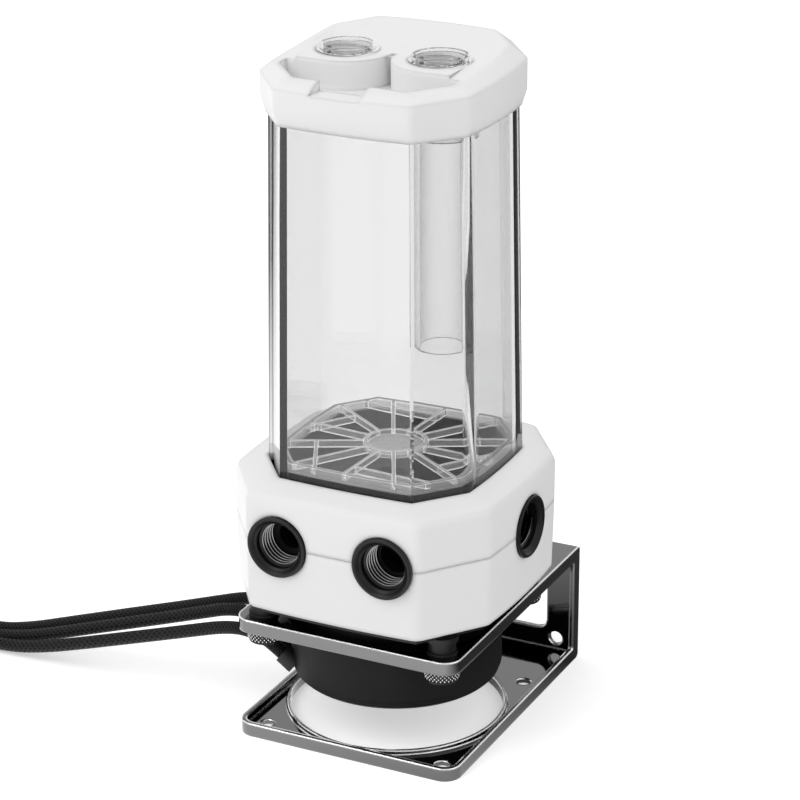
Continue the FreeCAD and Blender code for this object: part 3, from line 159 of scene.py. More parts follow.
world = bpy.context.scene.world or bpy.data.worlds.new("surround")
bpy.context.scene.world = world
world.use_nodes = True
surround = world.node_tree.nodes["Background"]
surround.inputs["Color"].default_value = (1, 1, 1, 1)
link(world.node_tree, seen(world.node_tree, SURROUND_LIGHT, 1.0), surround.inputs["Strength"])

bpy.ops.mesh.primitive_plane_add(size=FLOOR_SIZE, location=(0, 0, 0))
floor = bpy.context.object
floor.name = "floor"
paper = bpy.data.materials.new("white_paper")
paper.use_nodes = True
surface = paper.node_tree.nodes["Principled BSDF"]
surface.inputs["Base Color"].default_value = PAPER_WHITE
surface.inputs["Roughness"].default_value = 0.9
surface.inputs["Specular IOR Level"].default_value = 0.1
surface.inputs["Emission Color"].default_value = (1, 1, 1, 1)
floor_with_painted_reflection(paper.node_tree, surface)
floor.data.materials.append(paper)

area_lamp("soft_lamp", LAMP_PLACE, LAMP_POWER)
area_lamp("fill_lamp", FILL_PLACE, FILL_POWER)

# ---------------------------------------------------------------- leads
# Three leads in a black braided sleeve with a pale tracer leave the motor's left
# side, come down to the floor side by side and are wound up together in one coil.
LEAD_RADIUS = 1.9
FLOOR_LINE = 2.4
COIL_CENTRE = (-178.0, -37.2)
COIL_FACE = COIL_CENTRE[0] + 24.0
COIL_TURNS = 2.5
COIL_RISE = LEAD_RADIUS * 2.02
STEPS_PER_TURN = 16
TURN_RADIUS = {"power": 25.2, "pwm": 21.0, "light": 16.8}
ROUTES = {
    "power": [
        (-32.3, -7.2, 29.6), (-36.8, -7.2, 29.6), (-44.5, -8.2, 28.9),
        (-53.5, -9.4, 26.2), (-64.0, -10.3, 22.8), (-77.0, -10.9, 18.6),
        (-91.0, -11.2, 13.9), (-104.5, -11.4, 9.3), (-116.0, -11.7, 5.4),
        (-127.0, -12.2, 2.9), (-139.5, -12.0, FLOOR_LINE),
    ],
    "pwm": [
        (-29.2, -13.0, 19.4), (-31.6, -13.3, 22.6), (-35.2, -13.7, 25.8),
        (-40.6, -13.9, 27.8), (-47.2, -14.0, 27.4), (-55.5, -14.4, 24.6),
        (-67.0, -14.9, 20.7), (-80.0, -15.4, 16.4), (-93.5, -15.6, 11.8),
        (-106.0, -15.8, 7.5), (-117.0, -16.0, 4.1), (-128.0, -16.4, FLOOR_LINE),
        (-140.0, -16.2, FLOOR_LINE),
    ],
    "light": [
        (-26.6, -19.2, 20.0), (-29.6, -19.5, 22.4), (-33.6, -19.7, 24.5),
        (-39.2, -19.6, 25.3), (-46.0, -19.5, 24.2), (-55.0, -19.6, 21.3),
        (-66.5, -19.9, 17.6), (-80.0, -20.1, 13.3), (-93.5, -20.1, 8.9),
        (-106.0, -20.2, 5.1), (-117.0, -20.3, 2.7), (-128.0, -20.6, FLOOR_LINE),
        (-140.0, -20.4, FLOOR_LINE),
    ],
}
TAILS = {
    "power": [(-149.5, -62.4, 12.0), (-144.7, -63.9, 11.0), (-140.9, -66.6, 9.0),
              (-138.6, -70.2, 6.4), (-134.8, -72.9, 4.4), (-130.0, -74.4, 3.4)],
    "pwm": [(-149.8, -58.2, 12.0), (-145.4, -58.1, 10.9), (-141.4, -57.9, 8.9),
            (-138.1, -57.7, 6.0), (-134.1, -57.5, 3.9), (-129.7, -57.4, 2.9)],
    "light": [(-149.6, -54.0, 12.0), (-145.1, -53.2, 10.9), (-141.2, -51.7, 8.7),
              (-138.3, -49.5, 5.6), (-134.4, -48.0, 3.4), (-129.9, -47.2, 2.3)],
}
PLUG_X = -125.5
PLUG_PLACES = {"power": (PLUG_X, -74.4, 3.4), "pwm": (PLUG_X, -57.4, 2.9),
               "light": (PLUG_X, -47.2, 2.3)}
STRANDS_ROUND = 14
STRAND_PITCH = 1.1
STRAND_SHADOW = (0.001, 0.001, 0.001, 1)
STRAND_BLACK = (0.013, 0.013, 0.013, 1)
TRACER_GREY = (0.33, 0.33, 0.33, 1)
TRACER_PLACE = 0.3
TRACER_HALF = 0.022


def lead_points(name):
    centre_x, centre_y = COIL_CENTRE
    radius = TURN_RADIUS[name]
    points = list(ROUTES[name])
    points += [(COIL_FACE, centre_y + radius, FLOOR_LINE),
               (centre_x + 12, centre_y + radius, FLOOR_LINE)]
    ring = radius / math.cos(math.pi / STEPS_PER_TURN)
    for index in range(int(COIL_TURNS * STEPS_PER_TURN)):
        share = (index + 0.5) / STEPS_PER_TURN
        angle = math.pi * (0.5 + 2 * share)
        points.append((centre_x + ring * math.cos(angle), centre_y + ring * math.sin(angle),
                       FLOOR_LINE + COIL_RISE * share))
    top = FLOOR_LINE + COIL_RISE * COIL_TURNS
    points += [(centre_x + 12, centre_y - radius, top), (COIL_FACE, centre_y - radius, top)]
    return points + TAILS[name] + [PLUG_PLACES[name]]


def lead(name):
    points = lead_points(name)
    curve = bpy.data.curves.new(f"{name}_lead", "CURVE")
    curve.dimensions = "3D"
    spline = curve.splines.new("NURBS")
    spline.points.add(len(points) - 1)
    for point, (x, y, z) in zip(spline.points, points):
        point.co = (x * MM, y * MM, z * MM, 1)
    spline.order_u = 3
    spline.use_endpoint_u = True
    spline.resolution_u = 6
    curve.bevel_resolution = 5
    made = bpy.data.objects.new(f"{name}_lead", curve)
    bpy.context.collection.objects.link(made)
    bpy.context.view_layer.update()
    line = bpy.data.meshes.new_from_object(made)
    length = sum((line.vertices[edge.vertices[0]].co - line.vertices[edge.vertices[1]].co).length
                 for edge in line.edges)
    bpy.data.meshes.remove(line)
    curve.bevel_depth = LEAD_RADIUS * MM
    return made, length


def braided_sleeve(length):
    """Two sets of black strands that cross, with a pale dotted tracer along the side.
    U runs once along the lead and V once round it."""
    made = bpy.data.materials.new("braided_sleeve")
    made.use_nodes = True
    tree = made.node_tree
    surface = tree.nodes["Principled BSDF"]
    surface.inputs["Specular IOR Level"].default_value = 0.16
    split = shader(tree, "SeparateXYZ")
    link(tree, shader(tree, "TexCoord").outputs["UV"], split.inputs[0])
    along = math_node(tree, "MULTIPLY", split.outputs["X"], length / MM / STRAND_PITCH)
    across = math_node(tree, "MULTIPLY", split.outputs["Y"], STRANDS_ROUND / 2)
    right = math_node(tree, "SINE", math_node(tree, "MULTIPLY", math_node(
        tree, "ADD", along, across), 2 * math.pi))
    left = math_node(tree, "SINE", math_node(tree, "MULTIPLY", math_node(
        tree, "SUBTRACT", along, across), 2 * math.pi))
    strands = math_node(tree, "MAXIMUM", right, left)
    shade = shader(tree, "MapRange", {"From Min": -0.6, "From Max": 1.0})
    link(tree, strands, shade.inputs["Value"])
    colour = shader(tree, "Mix", {"A": STRAND_SHADOW, "B": STRAND_BLACK}, data_type="RGBA")
    link(tree, shade.outputs["Result"], colour.inputs["Factor"])
    near = math_node(tree, "ABSOLUTE", math_node(
        tree, "SUBTRACT", split.outputs["Y"], TRACER_PLACE))
    on_line = math_node(tree, "LESS_THAN", near, TRACER_HALF)
    dots = math_node(tree, "GREATER_THAN", math_node(tree, "SINE", math_node(
        tree, "MULTIPLY", along, math.pi)), -0.1)
    tracer = math_node(tree, "MULTIPLY", on_line, dots)
    pale = shader(tree, "Mix", {"B": TRACER_GREY}, data_type="RGBA")
    link(tree, tracer, pale.inputs["Factor"])
    link(tree, colour.outputs["Result"], pale.inputs["A"])
    link(tree, pale.outputs["Result"], surface.inputs["Base Color"])
    rough = shader(tree, "MapRange", {"To Min": 0.75, "To Max": 0.42})
    link(tree, shade.outputs["Result"], rough.inputs["Value"])
    link(tree, rough.outputs["Result"], surface.inputs["Roughness"])
    bump = shader(tree, "Bump", {"Strength": 0.7, "Distance": 0.00025})
    link(tree, strands, bump.inputs["Height"])
    link(tree, bump.outputs["Normal"], surface.inputs["Normal"])
    return made


for name in ROUTES:
    cord, length = lead(name)
    cord.data.materials.append(braided_sleeve(length))
    print(f"{name} lead: {length:.4f} m")
    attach(cord, "base")
    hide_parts(f"{name}_cable", f"{name}_tail", "cable_coil")

# ---------------------------------------------------------------- mounting bracket
# One steel sheet folded to a C and electroplated glossy black nickel. Its edges are
# turned inwards all round, and the four thumbscrews hold it under the motor.


def fine_grain():
    """Fine even grain: a height from 0 to 1 that changes over a given size in metres."""
    group = bpy.data.node_groups.get("fine_grain")
    if group:
        return group
    group = bpy.data.node_groups.new("fine_grain", "ShaderNodeTree")
    socket = group.interface.new_socket("Size", in_out="INPUT", socket_type="NodeSocketFloat")
    socket.default_value = 0.0002
    group.interface.new_socket("Height", in_out="OUTPUT", socket_type="NodeSocketFloat")
    given = group.nodes.new("NodeGroupInput")
    result = group.nodes.new("NodeGroupOutput")
    noise = shader(group, "TexNoise", {"Detail": 2.0, "Roughness": 0.6})
    link(group, shader(group, "TexCoord").outputs["Object"], noise.inputs["Vector"])
    link(group, math_node(group, "DIVIDE", 1.0, given.outputs["Size"]), noise.inputs["Scale"])
    link(group, noise.outputs["Fac"], result.inputs["Height"])
    return group


def handling_marks():
    """Soft smears left by hands: a roughness near the given one, a little duller in
    patches about a centimetre wide."""
    group = bpy.data.node_groups.get("handling_marks")
    if group:
        return group
    group = bpy.data.node_groups.new("handling_marks", "ShaderNodeTree")
    for name, value in (("Roughness", 0.4), ("Amount", 0.1)):
        socket = group.interface.new_socket(name, in_out="INPUT", socket_type="NodeSocketFloat")
        socket.default_value = value
    group.interface.new_socket("Roughness", in_out="OUTPUT", socket_type="NodeSocketFloat")
    given = group.nodes.new("NodeGroupInput")
    result = group.nodes.new("NodeGroupOutput")
    noise = shader(group, "TexNoise", {"Scale": 90.0, "Detail": 3.0, "Distortion": 0.6})
    link(group, shader(group, "TexCoord").outputs["Object"], noise.inputs["Vector"])
    patches = shader(group, "MapRange", {"From Min": 0.45, "From Max": 0.7})
    link(group, noise.outputs["Fac"], patches.inputs["Value"])
    duller = math_node(group, "MULTIPLY", patches.outputs["Result"], given.outputs["Amount"])
    link(group, math_node(group, "ADD", given.outputs["Roughness"], duller),
         result.inputs["Roughness"])
    return group


def placed(tree, group, **values):
    made = tree.nodes.new("ShaderNodeGroup")
    made.node_tree = group
    for name, value in values.items():
        made.inputs[name].default_value = value
    return made


def finish_of(name, colour, roughness, marks=0.08, grain=0.0002, depth=0.00001, patchy=0.06,
              soft=0.0, **sockets):
    """A hard material: its colour a little uneven, smears in its gloss, a fine grain and
    its edges shaded as round as a radius in millimetres."""
    made = bpy.data.materials.new(name)
    made.use_nodes = True
    tree = made.node_tree
    surface = tree.nodes["Principled BSDF"]
    for socket, value in sockets.items():
        surface.inputs[socket.replace("_", " ")].default_value = value
    cloud = shader(tree, "TexNoise", {"Scale": 55.0, "Detail": 2.0})
    link(tree, shader(tree, "TexCoord").outputs["Object"], cloud.inputs["Vector"])
    colours = shader(tree, "Mix", {"A": (*(v * (1 - patchy) for v in colour), 1),
                                   "B": (*(min(1, v * (1 + patchy)) for v in colour), 1)},
                     data_type="RGBA")
    link(tree, cloud.outputs["Fac"], colours.inputs["Factor"])
    link(tree, colours.outputs["Result"], surface.inputs["Base Color"])
    smears = placed(tree, handling_marks(), Roughness=roughness, Amount=marks)
    link(tree, smears.outputs["Roughness"], surface.inputs["Roughness"])
    grains = placed(tree, fine_grain(), Size=grain)
    bump = shader(tree, "Bump", {"Strength": 1.0, "Distance": depth})
    link(tree, grains.outputs["Height"], bump.inputs["Height"])
    link(tree, bump.outputs["Normal"], surface.inputs["Normal"])
    if soft:
        rounded = shader(tree, "Bevel", {"Radius": soft * MM}, samples=8)
        link(tree, rounded.outputs["Normal"], bump.inputs["Normal"])
    return made


def cad_copy(name, node, whole=True):
    """A copy of a CAD node's mesh with its triangles joined and its flats made whole."""
    deselect()
    made = bpy.data.objects.new(name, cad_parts[node].data.copy())
    bpy.context.collection.objects.link(made)
    bpy.context.view_layer.objects.active = made
    made.select_set(True)
    made.data.materials.clear()
    if made.data.has_custom_normals:
        bpy.ops.mesh.customdata_custom_splitnormals_clear()
    bpy.ops.object.mode_set(mode="EDIT")
    bpy.ops.mesh.select_all(action="SELECT")
    bpy.ops.mesh.remove_doubles(threshold=0.003 * MM)
    if whole:
        bpy.ops.mesh.dissolve_limited(angle_limit=math.radians(0.6))
    bpy.ops.object.mode_set(mode="OBJECT")
    return made


def soften(made, edge=0.0, steps=2, sharp=30.0, smooth=40.0):
    """Rounds the edges sharper than an angle and gives the faces even shading."""
    if edge:
        bevel = made.modifiers.new("round", "BEVEL")
        bevel.width = edge * MM
        bevel.segments = steps
        bevel.limit_method = "ANGLE"
        bevel.angle_limit = math.radians(sharp)
        bevel.miter_outer = "MITER_ARC"
        bpy.ops.object.modifier_apply(modifier=bevel.name)
    bpy.ops.object.shade_smooth_by_angle(angle=math.radians(smooth))
    weighted = made.modifiers.new("weighted", "WEIGHTED_NORMAL")
    weighted.keep_sharp = True
    bpy.ops.object.modifier_apply(modifier=weighted.name)


def fit(made, body, slot, finish, *nodes):
    """The piece's material, the body it rides on and the CAD nodes it stands for."""
    made.data.materials.clear()
    made.data.materials.append(finish)
    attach(made, body)
    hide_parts(*nodes)


def brighten(finish, mask, value):
    """Lays an even grey of the given value over the finish where the mask is 1."""
    tree = finish.node_tree
    base = tree.nodes["Principled BSDF"].inputs["Base Color"]
    brighter = shader(tree, "Mix", {"B": (value, value, value, 1)}, data_type="RGBA")
    link(tree, mask, brighter.inputs["Factor"])
    link(tree, base.links[0].from_socket, brighter.inputs["A"])
    link(tree, brighter.outputs["Result"], base)


def edge_mask(tree, rounded, start, end):
    """0 on the flats and 1 at the edges, where the rounded normal turns away from the
    flat one."""
    turned = shader(tree, "VectorMath", operation="DOT_PRODUCT")
    link(tree, rounded, turned.inputs[0])
    link(tree, shader(tree, "NewGeometry").outputs["Normal"], turned.inputs[1])
    edge = shader(tree, "MapRange", {"From Min": start, "From Max": end})
    link(tree, turned.outputs["Value"], edge.inputs["Value"])
    return edge.outputs["Result"]


def paint_edge_highlight(finish, value):
    """Painted highlight: the rounded edges that face up are painted brighter, as if lit from
    above; those that face down stay dark."""
    tree = finish.node_tree
    rounded = tree.nodes["Bevel"].outputs["Normal"]
    way = shader(tree, "SeparateXYZ")
    link(tree, rounded, way.inputs[0])
    highlight_side = shader(tree, "MapRange", {"From Min": -0.3, "From Max": 0.0})
    link(tree, way.outputs["Z"], highlight_side.inputs["Value"])
    edge = edge_mask(tree, rounded, 0.985, 0.86)
    brighten(finish, math_node(tree, "MULTIPLY", edge, highlight_side.outputs["Result"]), value)


bracket = cad_copy("bracket", "mounting_bracket")
soften(bracket, 0.2, 2, sharp=50)
black_nickel = finish_of("black_nickel", (0.145, 0.145, 0.147), 0.06, marks=0.04,
                         grain=0.0015, depth=0.000003, patchy=0.03, soft=1.1, Metallic=1.0)
# Painted highlight on the bracket's upturned edges.
paint_edge_highlight(black_nickel, 1.0)
fit(bracket, "base", "plated_steel", black_nickel, "mounting_bracket")

# ---------------------------------------------------------------- clamp ring
# A black glass-filled ring round the motor with a leg down to the bracket at each
# corner. Brass inserts are pressed into the feet for the thumbscrews.
black_moulding = finish_of("black_moulding", (0.008, 0.008, 0.008), 0.38, depth=0.000012,
                           Specular_IOR_Level=0.25)
clamp = cad_copy("clamp_frame", "clamp_ring")
soften(clamp, 0.3, 2, sharp=50)
fit(clamp, "base", "black_plastic", black_moulding, "clamp_ring")
inserts = cad_copy("leg_inserts", "threaded_inserts")
soften(inserts, 0.1, 1, sharp=50)
fit(inserts, "base", "brass",
    finish_of("turned_brass", (0.55, 0.38, 0.14), 0.28, Metallic=1.0), "threaded_inserts")

# ---------------------------------------------------------------- thumbscrews
# Four black zinc-plated steel screws with low round heads, turned and then knurled
# with crossed grooves for the fingers. They hold the bracket to the clamp's legs.
KNOB_RADIUS = 4.85
KNOB_LOW = 28.24
KNOB_TOP = 34.64
KNURLS_ROUND = 26
KNURL_DEPTH = 0.4
KNURL_MARGIN = 0.45
STEPS_PER_KNURL = 6
KNURL_ROWS = 25
screw_finish = finish_of("black_zinc", (0.03, 0.03, 0.031), 0.25, marks=0.1, Metallic=1.0)


def knurled_band(name, x, y):
    """A grid rolled up to a band round the head, its points raised to small pyramids."""
    deselect()
    bpy.ops.mesh.primitive_grid_add(x_subdivisions=KNURLS_ROUND * STEPS_PER_KNURL,
                                    y_subdivisions=KNURL_ROWS, size=1)
    made = bpy.context.object
    made.name = name
    low, high = KNOB_LOW + KNURL_MARGIN, KNOB_TOP - KNURL_MARGIN
    crest_glint = made.data.attributes.new("crest_glint", "FLOAT", "POINT")
    row = math.tau * KNOB_RADIUS / KNURLS_ROUND
    for vertex in made.data.vertices:
        angle = math.tau * (vertex.co.x + 0.5)
        height = (high - low) * (vertex.co.y + 0.5)
        around, along = KNURLS_ROUND * angle / 2, math.pi * height / row
        raised = min(abs(math.sin(around + along)), abs(math.sin(around - along)))
        edge = min(1.0, height / 0.3, (high - low - height) / 0.3)
        radius = KNOB_RADIUS - KNURL_DEPTH * (1 - raised * edge)
        # The crest value, where the knurl is painted with a glint.
        crest_glint.data[vertex.index].value = raised * edge
        vertex.co = Vector((x + radius * math.cos(angle), y + radius * math.sin(angle),
                            low + height)) * MM
    bpy.ops.object.mode_set(mode="EDIT")
    bpy.ops.mesh.select_all(action="SELECT")
    bpy.ops.mesh.remove_doubles(threshold=0.01 * MM)
    bpy.ops.mesh.normals_make_consistent(inside=False)
    bpy.ops.object.mode_set(mode="OBJECT")
    bpy.ops.object.shade_smooth_by_angle(angle=math.radians(25))
    return made


def paint_crest_glint(finish, value, start, end):
    """Painted glint: the finish is painted brighter on the crests, where the piece's stored
    crest value is high.
    """
    tree = finish.node_tree
    points = shader(tree, "MapRange", {"From Min": start, "From Max": end})
    link(tree, shader(tree, "Attribute", attribute_name="crest_glint").outputs["Fac"],
         points.inputs["Value"])
    brighten(finish, points.outputs["Result"], value)


knurl_finish = finish_of("knurled_zinc", (0.012, 0.012, 0.0125), 0.2, marks=0.1, Metallic=1.0)
# Painted glint on the knurl crests.
paint_crest_glint(knurl_finish, 0.75, 0.45, 0.95)
for index in (1, 2, 3, 4):
    knob = cad_copy(f"thumbscrew_head_{index}", f"thumbscrew_{index}")
    middle = sum((vertex.co for vertex in knob.data.vertices), Vector()) / len(
        knob.data.vertices)
    for vertex in knob.data.vertices:
        arm = vertex.co.xy - middle.xy
        if arm.length > (KNOB_RADIUS - 0.2) * MM:
            vertex.co.xy = middle.xy + arm * ((KNOB_RADIUS - KNURL_DEPTH) / KNOB_RADIUS)
    soften(knob, 0.15, 2, sharp=50)
    fit(knob, f"screw_{index}", "black_screw", screw_finish, f"thumbscrew_{index}")
    band = knurled_band(f"thumbscrew_knurl_{index}", middle.x / MM, middle.y / MM)
    band.data.materials.append(knurl_finish)
    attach(band, f"screw_{index}")

# ---------------------------------------------------------------- pump motor
# A round black moulded housing with a stepped end cap at its foot, fixed under the
# manifold. Its board, windings, can, magnet and impeller are inside.
motor_black = finish_of("motor_black", (0.006, 0.006, 0.0062), 0.55, grain=0.00025,
                        depth=0.00002, soft=0.9, Specular_IOR_Level=0.14)
housing = cad_copy("motor_housing", "pump_housing")
soften(housing, 0.2, 2, sharp=50)
fit(housing, "base", "motor_black", motor_black, "pump_housing")
end_cap = cad_copy("motor_cap", "motor_end_cap")
soften(end_cap, 0.2, 2, sharp=50)
fit(end_cap, "base", "motor_black", motor_black, "motor_end_cap")

# ---------------------------------------------------------------- cowl
# Two white satin shells hide the manifold. They meet at the height of the ports. All
# their outer corners are moulded with wide soft curves.
white_moulding = finish_of("white_moulding", (0.82, 0.82, 0.82), 0.38, marks=0.06,
                           grain=0.0003, depth=0.000006, patchy=0.01, soft=2.2,
                           Specular_IOR_Level=0.3)
for name, node in (("cowl_lower", "lower_cowl"), ("cowl_upper", "upper_cowl")):
    shell = cad_copy(name, node)
    soften(shell, 0.4, 3, sharp=35, smooth=35)
    fit(shell, "base", "white_plastic", white_moulding, node)

# ---------------------------------------------------------------- port bushings
# Four black sleeves clipped into the ports of the manifold. Each is moulded with an
# inside pipe thread (G 1/4) for the hose fitting.
PORTS = {"front_left": ((-15.9, -39.9, 64.0), (90, 0)),
         "front_right": ((15.9, -39.9, 64.0), (90, 0)),
         "right": ((39.6, 2.0, 64.0), (90, 90)),
         "left": ((-39.6, 2.0, 64.0), (90, -90))}
THREAD_PITCH = 1.337
THREAD_ROOT = 6.62
THREAD_CREST = 5.75
THREAD_ROOT_HALF = 0.6
THREAD_CREST_HALF = 0.12
THREAD_STEPS = 48
PORT_TURNS = 5
PORT_LEAD_IN = 1.0
bushing_black = finish_of("bushing_black", (0.006, 0.006, 0.006), 0.34,
                          Specular_IOR_Level=0.22)
thread_black = finish_of("thread_black", (0.02, 0.02, 0.02), 0.2, marks=0.02, Metallic=1.0)
# Painted highlight on the thread crests.
paint_crest_glint(thread_black, 0.33, 0.75, 1.0)


def inside_thread(name, turns):
    """A ridge wound up round the Z axis, its root in the wall of the bore."""
    deselect()
    bpy.ops.mesh.primitive_plane_add(size=1)
    made = bpy.context.object
    made.name = name
    for vertex in made.data.vertices:
        inner = vertex.co.x < 0
        vertex.co = Vector((THREAD_CREST if inner else THREAD_ROOT, 0,
                            math.copysign(THREAD_CREST_HALF if inner else THREAD_ROOT_HALF,
                                          vertex.co.y))) * MM
    wind = made.modifiers.new("wind", "SCREW")
    wind.axis = "Z"
    wind.angle = math.tau
    wind.screw_offset = THREAD_PITCH * MM
    wind.iterations = turns
    wind.steps = THREAD_STEPS
    wind.render_steps = THREAD_STEPS
    bpy.ops.object.modifier_apply(modifier=wind.name)
    # The crest value, where the thread is painted with a highlight.
    crest_glint = made.data.attributes.new("crest_glint", "FLOAT", "POINT")
    for vertex in made.data.vertices:
        height = THREAD_ROOT - vertex.co.xy.length / MM
        crest_glint.data[vertex.index].value = height / (THREAD_ROOT - THREAD_CREST)
    bpy.ops.object.mode_set(mode="EDIT")
    bpy.ops.mesh.select_all(action="SELECT")
    bpy.ops.mesh.normals_make_consistent(inside=False)
    bpy.ops.object.mode_set(mode="OBJECT")
    bpy.ops.object.shade_smooth_by_angle(angle=math.radians(30))
    return made


def put(made, place, turn=(0, 0)):
    """Turns a piece about X and then Z and moves it; both stay in the mesh."""
    made.data.transform(Matrix.Translation(Vector(place) * MM)
                        @ Matrix.Rotation(math.radians(turn[1]), 4, "Z")
                        @ Matrix.Rotation(math.radians(turn[0]), 4, "X"))


for name, (mouth, turn) in PORTS.items():
    sleeve = cad_copy(f"port_{name}", f"{name}_bushing")
    soften(sleeve, 0.08, 2, sharp=50)
    fit(sleeve, "base", "bushing_black", bushing_black, f"{name}_bushing")
    ridge = inside_thread(f"port_thread_{name}", PORT_TURNS)
    put(ridge, (0, 0, -PORT_LEAD_IN - (PORT_TURNS + 0.5) * THREAD_PITCH))
    put(ridge, mouth, turn)
    ridge.data.materials.append(thread_black)
    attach(ridge, "base")

# ---------------------------------------------------------------- clear parts
# The tank, its dip tube and the grate under it are clear cast acrylic, polished. The
# tank's two necks have the same inside thread as the ports.
NECKS = {"left": -13.6, "right": 13.6}
NECK_TOP = 194.4
NECK_TURNS = 6
NECK_LEAD_IN = 0.8
NECK_CLEAR = (0.97, 0.97, 0.97, 1)
SHOULDER_LOW = 0.178
SHOULDER_TOP = 0.184
# Where the tank's right front corner gets a painted shade: light reflected inside it more than
# once passes out darkened.
PAINTED_SHADE_RIGHT_OF = 0.02
PAINTED_SHADE_BEFORE = 0.0
PAINTED_SHADE_BOUNCES = 1.5


def clear_acrylic(name, clear, edge, corner=None, **sockets):
    """Clear acrylic: painted greyer at a slant, a painted shade that draws dark outlines, and
    brighter in the thin necks. Lamps shine through it without being bent. In the right front
    corner, light reflected inside more than once leaves through it with a painted shade."""
    made = bpy.data.materials.new(name)
    made.use_nodes = True
    tree = made.node_tree
    surface = tree.nodes["Principled BSDF"]
    for socket, value in {"Transmission Weight": 1.0, "IOR": 1.49, **sockets}.items():
        surface.inputs[socket.replace("_", " ")].default_value = value
    # Painted shade: the colour turns grey where the surface is seen at a slant.
    slant = shader(tree, "LayerWeight", {"Blend": 0.3})
    tint = shader(tree, "Mix", {"A": (clear, clear, clear * 1.002, 1),
                                "B": (edge, edge, edge * 1.01, 1)}, data_type="RGBA")
    link(tree, slant.outputs["Facing"], tint.inputs["Factor"])
    place = shader(tree, "SeparateXYZ")
    link(tree, shader(tree, "TexCoord").outputs["Object"], place.inputs[0])
    height = shader(tree, "MapRange", {"From Min": SHOULDER_LOW, "From Max": SHOULDER_TOP})
    link(tree, place.outputs["Z"], height.inputs["Value"])
    thin = shader(tree, "Mix", {"B": NECK_CLEAR}, data_type="RGBA")
    link(tree, height.outputs["Result"], thin.inputs["Factor"])
    link(tree, tint.outputs["Result"], thin.inputs["A"])
    link(tree, thin.outputs["Result"], surface.inputs["Base Color"])
    smears = placed(tree, handling_marks(), Roughness=0.0, Amount=0.012)
    link(tree, smears.outputs["Roughness"], surface.inputs["Roughness"])
    path = shader(tree, "LightPath").outputs
    through = shader(tree, "MixShader")
    passing = shader(tree, "BsdfTransparent")
    rays = math_node(tree, "MAXIMUM", path["Is Shadow Ray"], path["Is Diffuse Ray"])
    # Painted shade in the right front corner for light reflected inside more than once.
    if corner:
        painted_shade_zone = math_node(tree, "MULTIPLY",
                           math_node(tree, "GREATER_THAN", place.outputs["X"], PAINTED_SHADE_RIGHT_OF),
                           math_node(tree, "LESS_THAN", place.outputs["Y"], PAINTED_SHADE_BEFORE))
        bounced = math_node(tree, "GREATER_THAN", path["Glossy Depth"], PAINTED_SHADE_BOUNCES)
        painted_shade_zone = math_node(tree, "MULTIPLY", painted_shade_zone, bounced)
        corner_painted_shade = shader(tree, "Mix", {"A": (1, 1, 1, 1), "B": (corner, corner, corner, 1)},
                        data_type="RGBA")
        link(tree, painted_shade_zone, corner_painted_shade.inputs["Factor"])
        link(tree, corner_painted_shade.outputs["Result"], passing.inputs["Color"])
        rays = math_node(tree, "MAXIMUM", rays, painted_shade_zone)
    link(tree, rays, through.inputs[0])
    link(tree, surface.outputs["BSDF"], through.inputs[1])
    link(tree, passing.outputs["BSDF"], through.inputs[2])
    link(tree, through.outputs["Shader"],
         tree.nodes["Material Output"].inputs["Surface"])
    return made


def paint_edge_glow(finish, radius, strength):
    """Painted glow: the clear plate's cut edges glow white, though nothing lights them there."""
    tree = finish.node_tree
    rounded = shader(tree, "Bevel", {"Radius": radius * MM}, samples=8)
    white = shader(tree, "Mix", {"A": (0, 0, 0, 1), "B": (1, 1, 1, 1)}, data_type="RGBA")
    link(tree, edge_mask(tree, rounded.outputs["Normal"], 0.97, 0.8), white.inputs["Factor"])
    surface = tree.nodes["Principled BSDF"]
    link(tree, white.outputs["Result"], surface.inputs["Emission Color"])
    surface.inputs["Emission Strength"].default_value = strength


# 0.45 is the painted grey at a slant and 0.2 the painted shade in the right front corner.
acrylic = clear_acrylic("clear_acrylic", 0.81, 0.45, 0.2)
tank = cad_copy("tank", "reservoir_tank")
soften(tank, 0.15, 2, sharp=50)
fit(tank, "base", "clear_acrylic", acrylic, "reservoir_tank")
tube = cad_copy("return_tube", "dip_tube")
soften(tube, 0.15, 2, sharp=50)
fit(tube, "base", "clear_acrylic", clear_acrylic("clear_tube", 0.985, 0.1), "dip_tube")
for name, place in NECKS.items():
    ridge = inside_thread(f"neck_thread_{name}", NECK_TURNS)
    put(ridge, (place, 0, NECK_TOP - NECK_LEAD_IN - (NECK_TURNS + 0.5) * THREAD_PITCH))
    ridge.data.materials.append(acrylic)
    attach(ridge, "base")
grate = cad_copy("vortex_grate", "anti_vortex_grate", whole=False)
soften(grate, 0.2, 2, sharp=50)
clear_plate = clear_acrylic("clear_grate", 0.97, 0.75, Transmission_Weight=0.82)
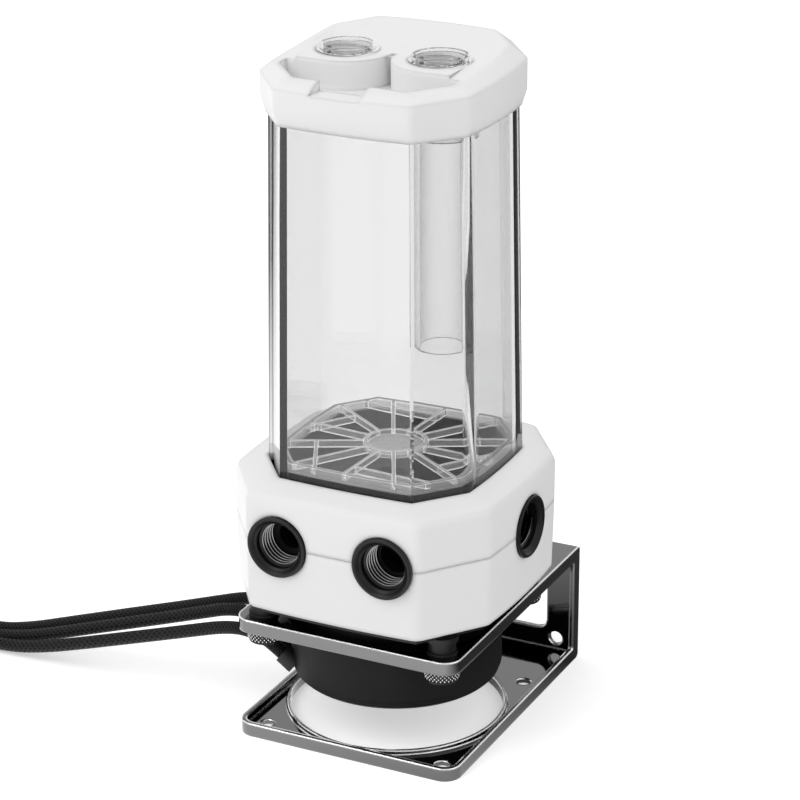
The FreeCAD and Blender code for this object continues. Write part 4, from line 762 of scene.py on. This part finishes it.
# Painted glow at the grate's cut edges.
paint_edge_glow(clear_plate, 0.35, 0.6)
fit(grate, "base", "clear_acrylic", clear_plate, "anti_vortex_grate")

# ---------------------------------------------------------------- top cover
# A white moulded cap over the tank's shoulder, with a sunken trough for the fittings
# and wide soft curves on its outer corners.
cap = cad_copy("tank_cap", "top_cover")
soften(cap, 0.6, 3, sharp=35, smooth=35)
fit(cap, "base", "white_plastic", white_moulding, "top_cover")

# ---------------------------------------------------------------- manifold
# The black glass-filled heart of the pump under the cowl: volute, ports and risers in
# one moulding. The motor is screwed to its underside.
heart = cad_copy("flow_manifold", "manifold")
soften(heart, 0.2, 2, sharp=50)
fit(heart, "base", "black_plastic", black_moulding, "manifold")

# ---------------------------------------------------------------- inside parts
# Board, laminated core, windings, steel can, ceramic ball, magnet, impeller, seals
# and screws keep their machined shapes and get their own finishes.


def dress(node, finish):
    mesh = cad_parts[node].data
    mesh.materials.clear()
    mesh.materials.append(finish)


steel = finish_of("stainless", (0.6, 0.6, 0.59), 0.25, Metallic=1.0)
rubber = finish_of("seal_rubber", (0.01, 0.01, 0.01), 0.65)
for node, finish in {
        "control_board": finish_of("circuit_board", (0.01, 0.09, 0.035), 0.35),
        "stator_core": finish_of("core_steel", (0.3, 0.3, 0.31), 0.45, Metallic=1.0),
        "stator_coils": finish_of("wound_copper", (0.7, 0.28, 0.12), 0.3, Metallic=1.0),
        "separation_can": steel,
        "bearing_ball": finish_of("ceramic", (0.8, 0.79, 0.75), 0.15),
        "rotor_magnet": finish_of("ferrite", (0.05, 0.05, 0.052), 0.4),
        "impeller": finish_of("impeller_plastic", (0.03, 0.03, 0.032), 0.4),
        "manifold_screws": steel, "tank_screws": steel,
        "flange_seal": rubber, "tank_seal": rubber, "cable_glands": rubber,
        "cable_tie": finish_of("tie_plastic", (0.02, 0.02, 0.02), 0.45),
        "power_plug": finish_of("plug_plastic", (0.02, 0.02, 0.02), 0.4)}.items():
    dress(node, finish)
for node in ("fan_plug", "light_plug"):
    dress(node, bpy.data.materials["plug_plastic"])
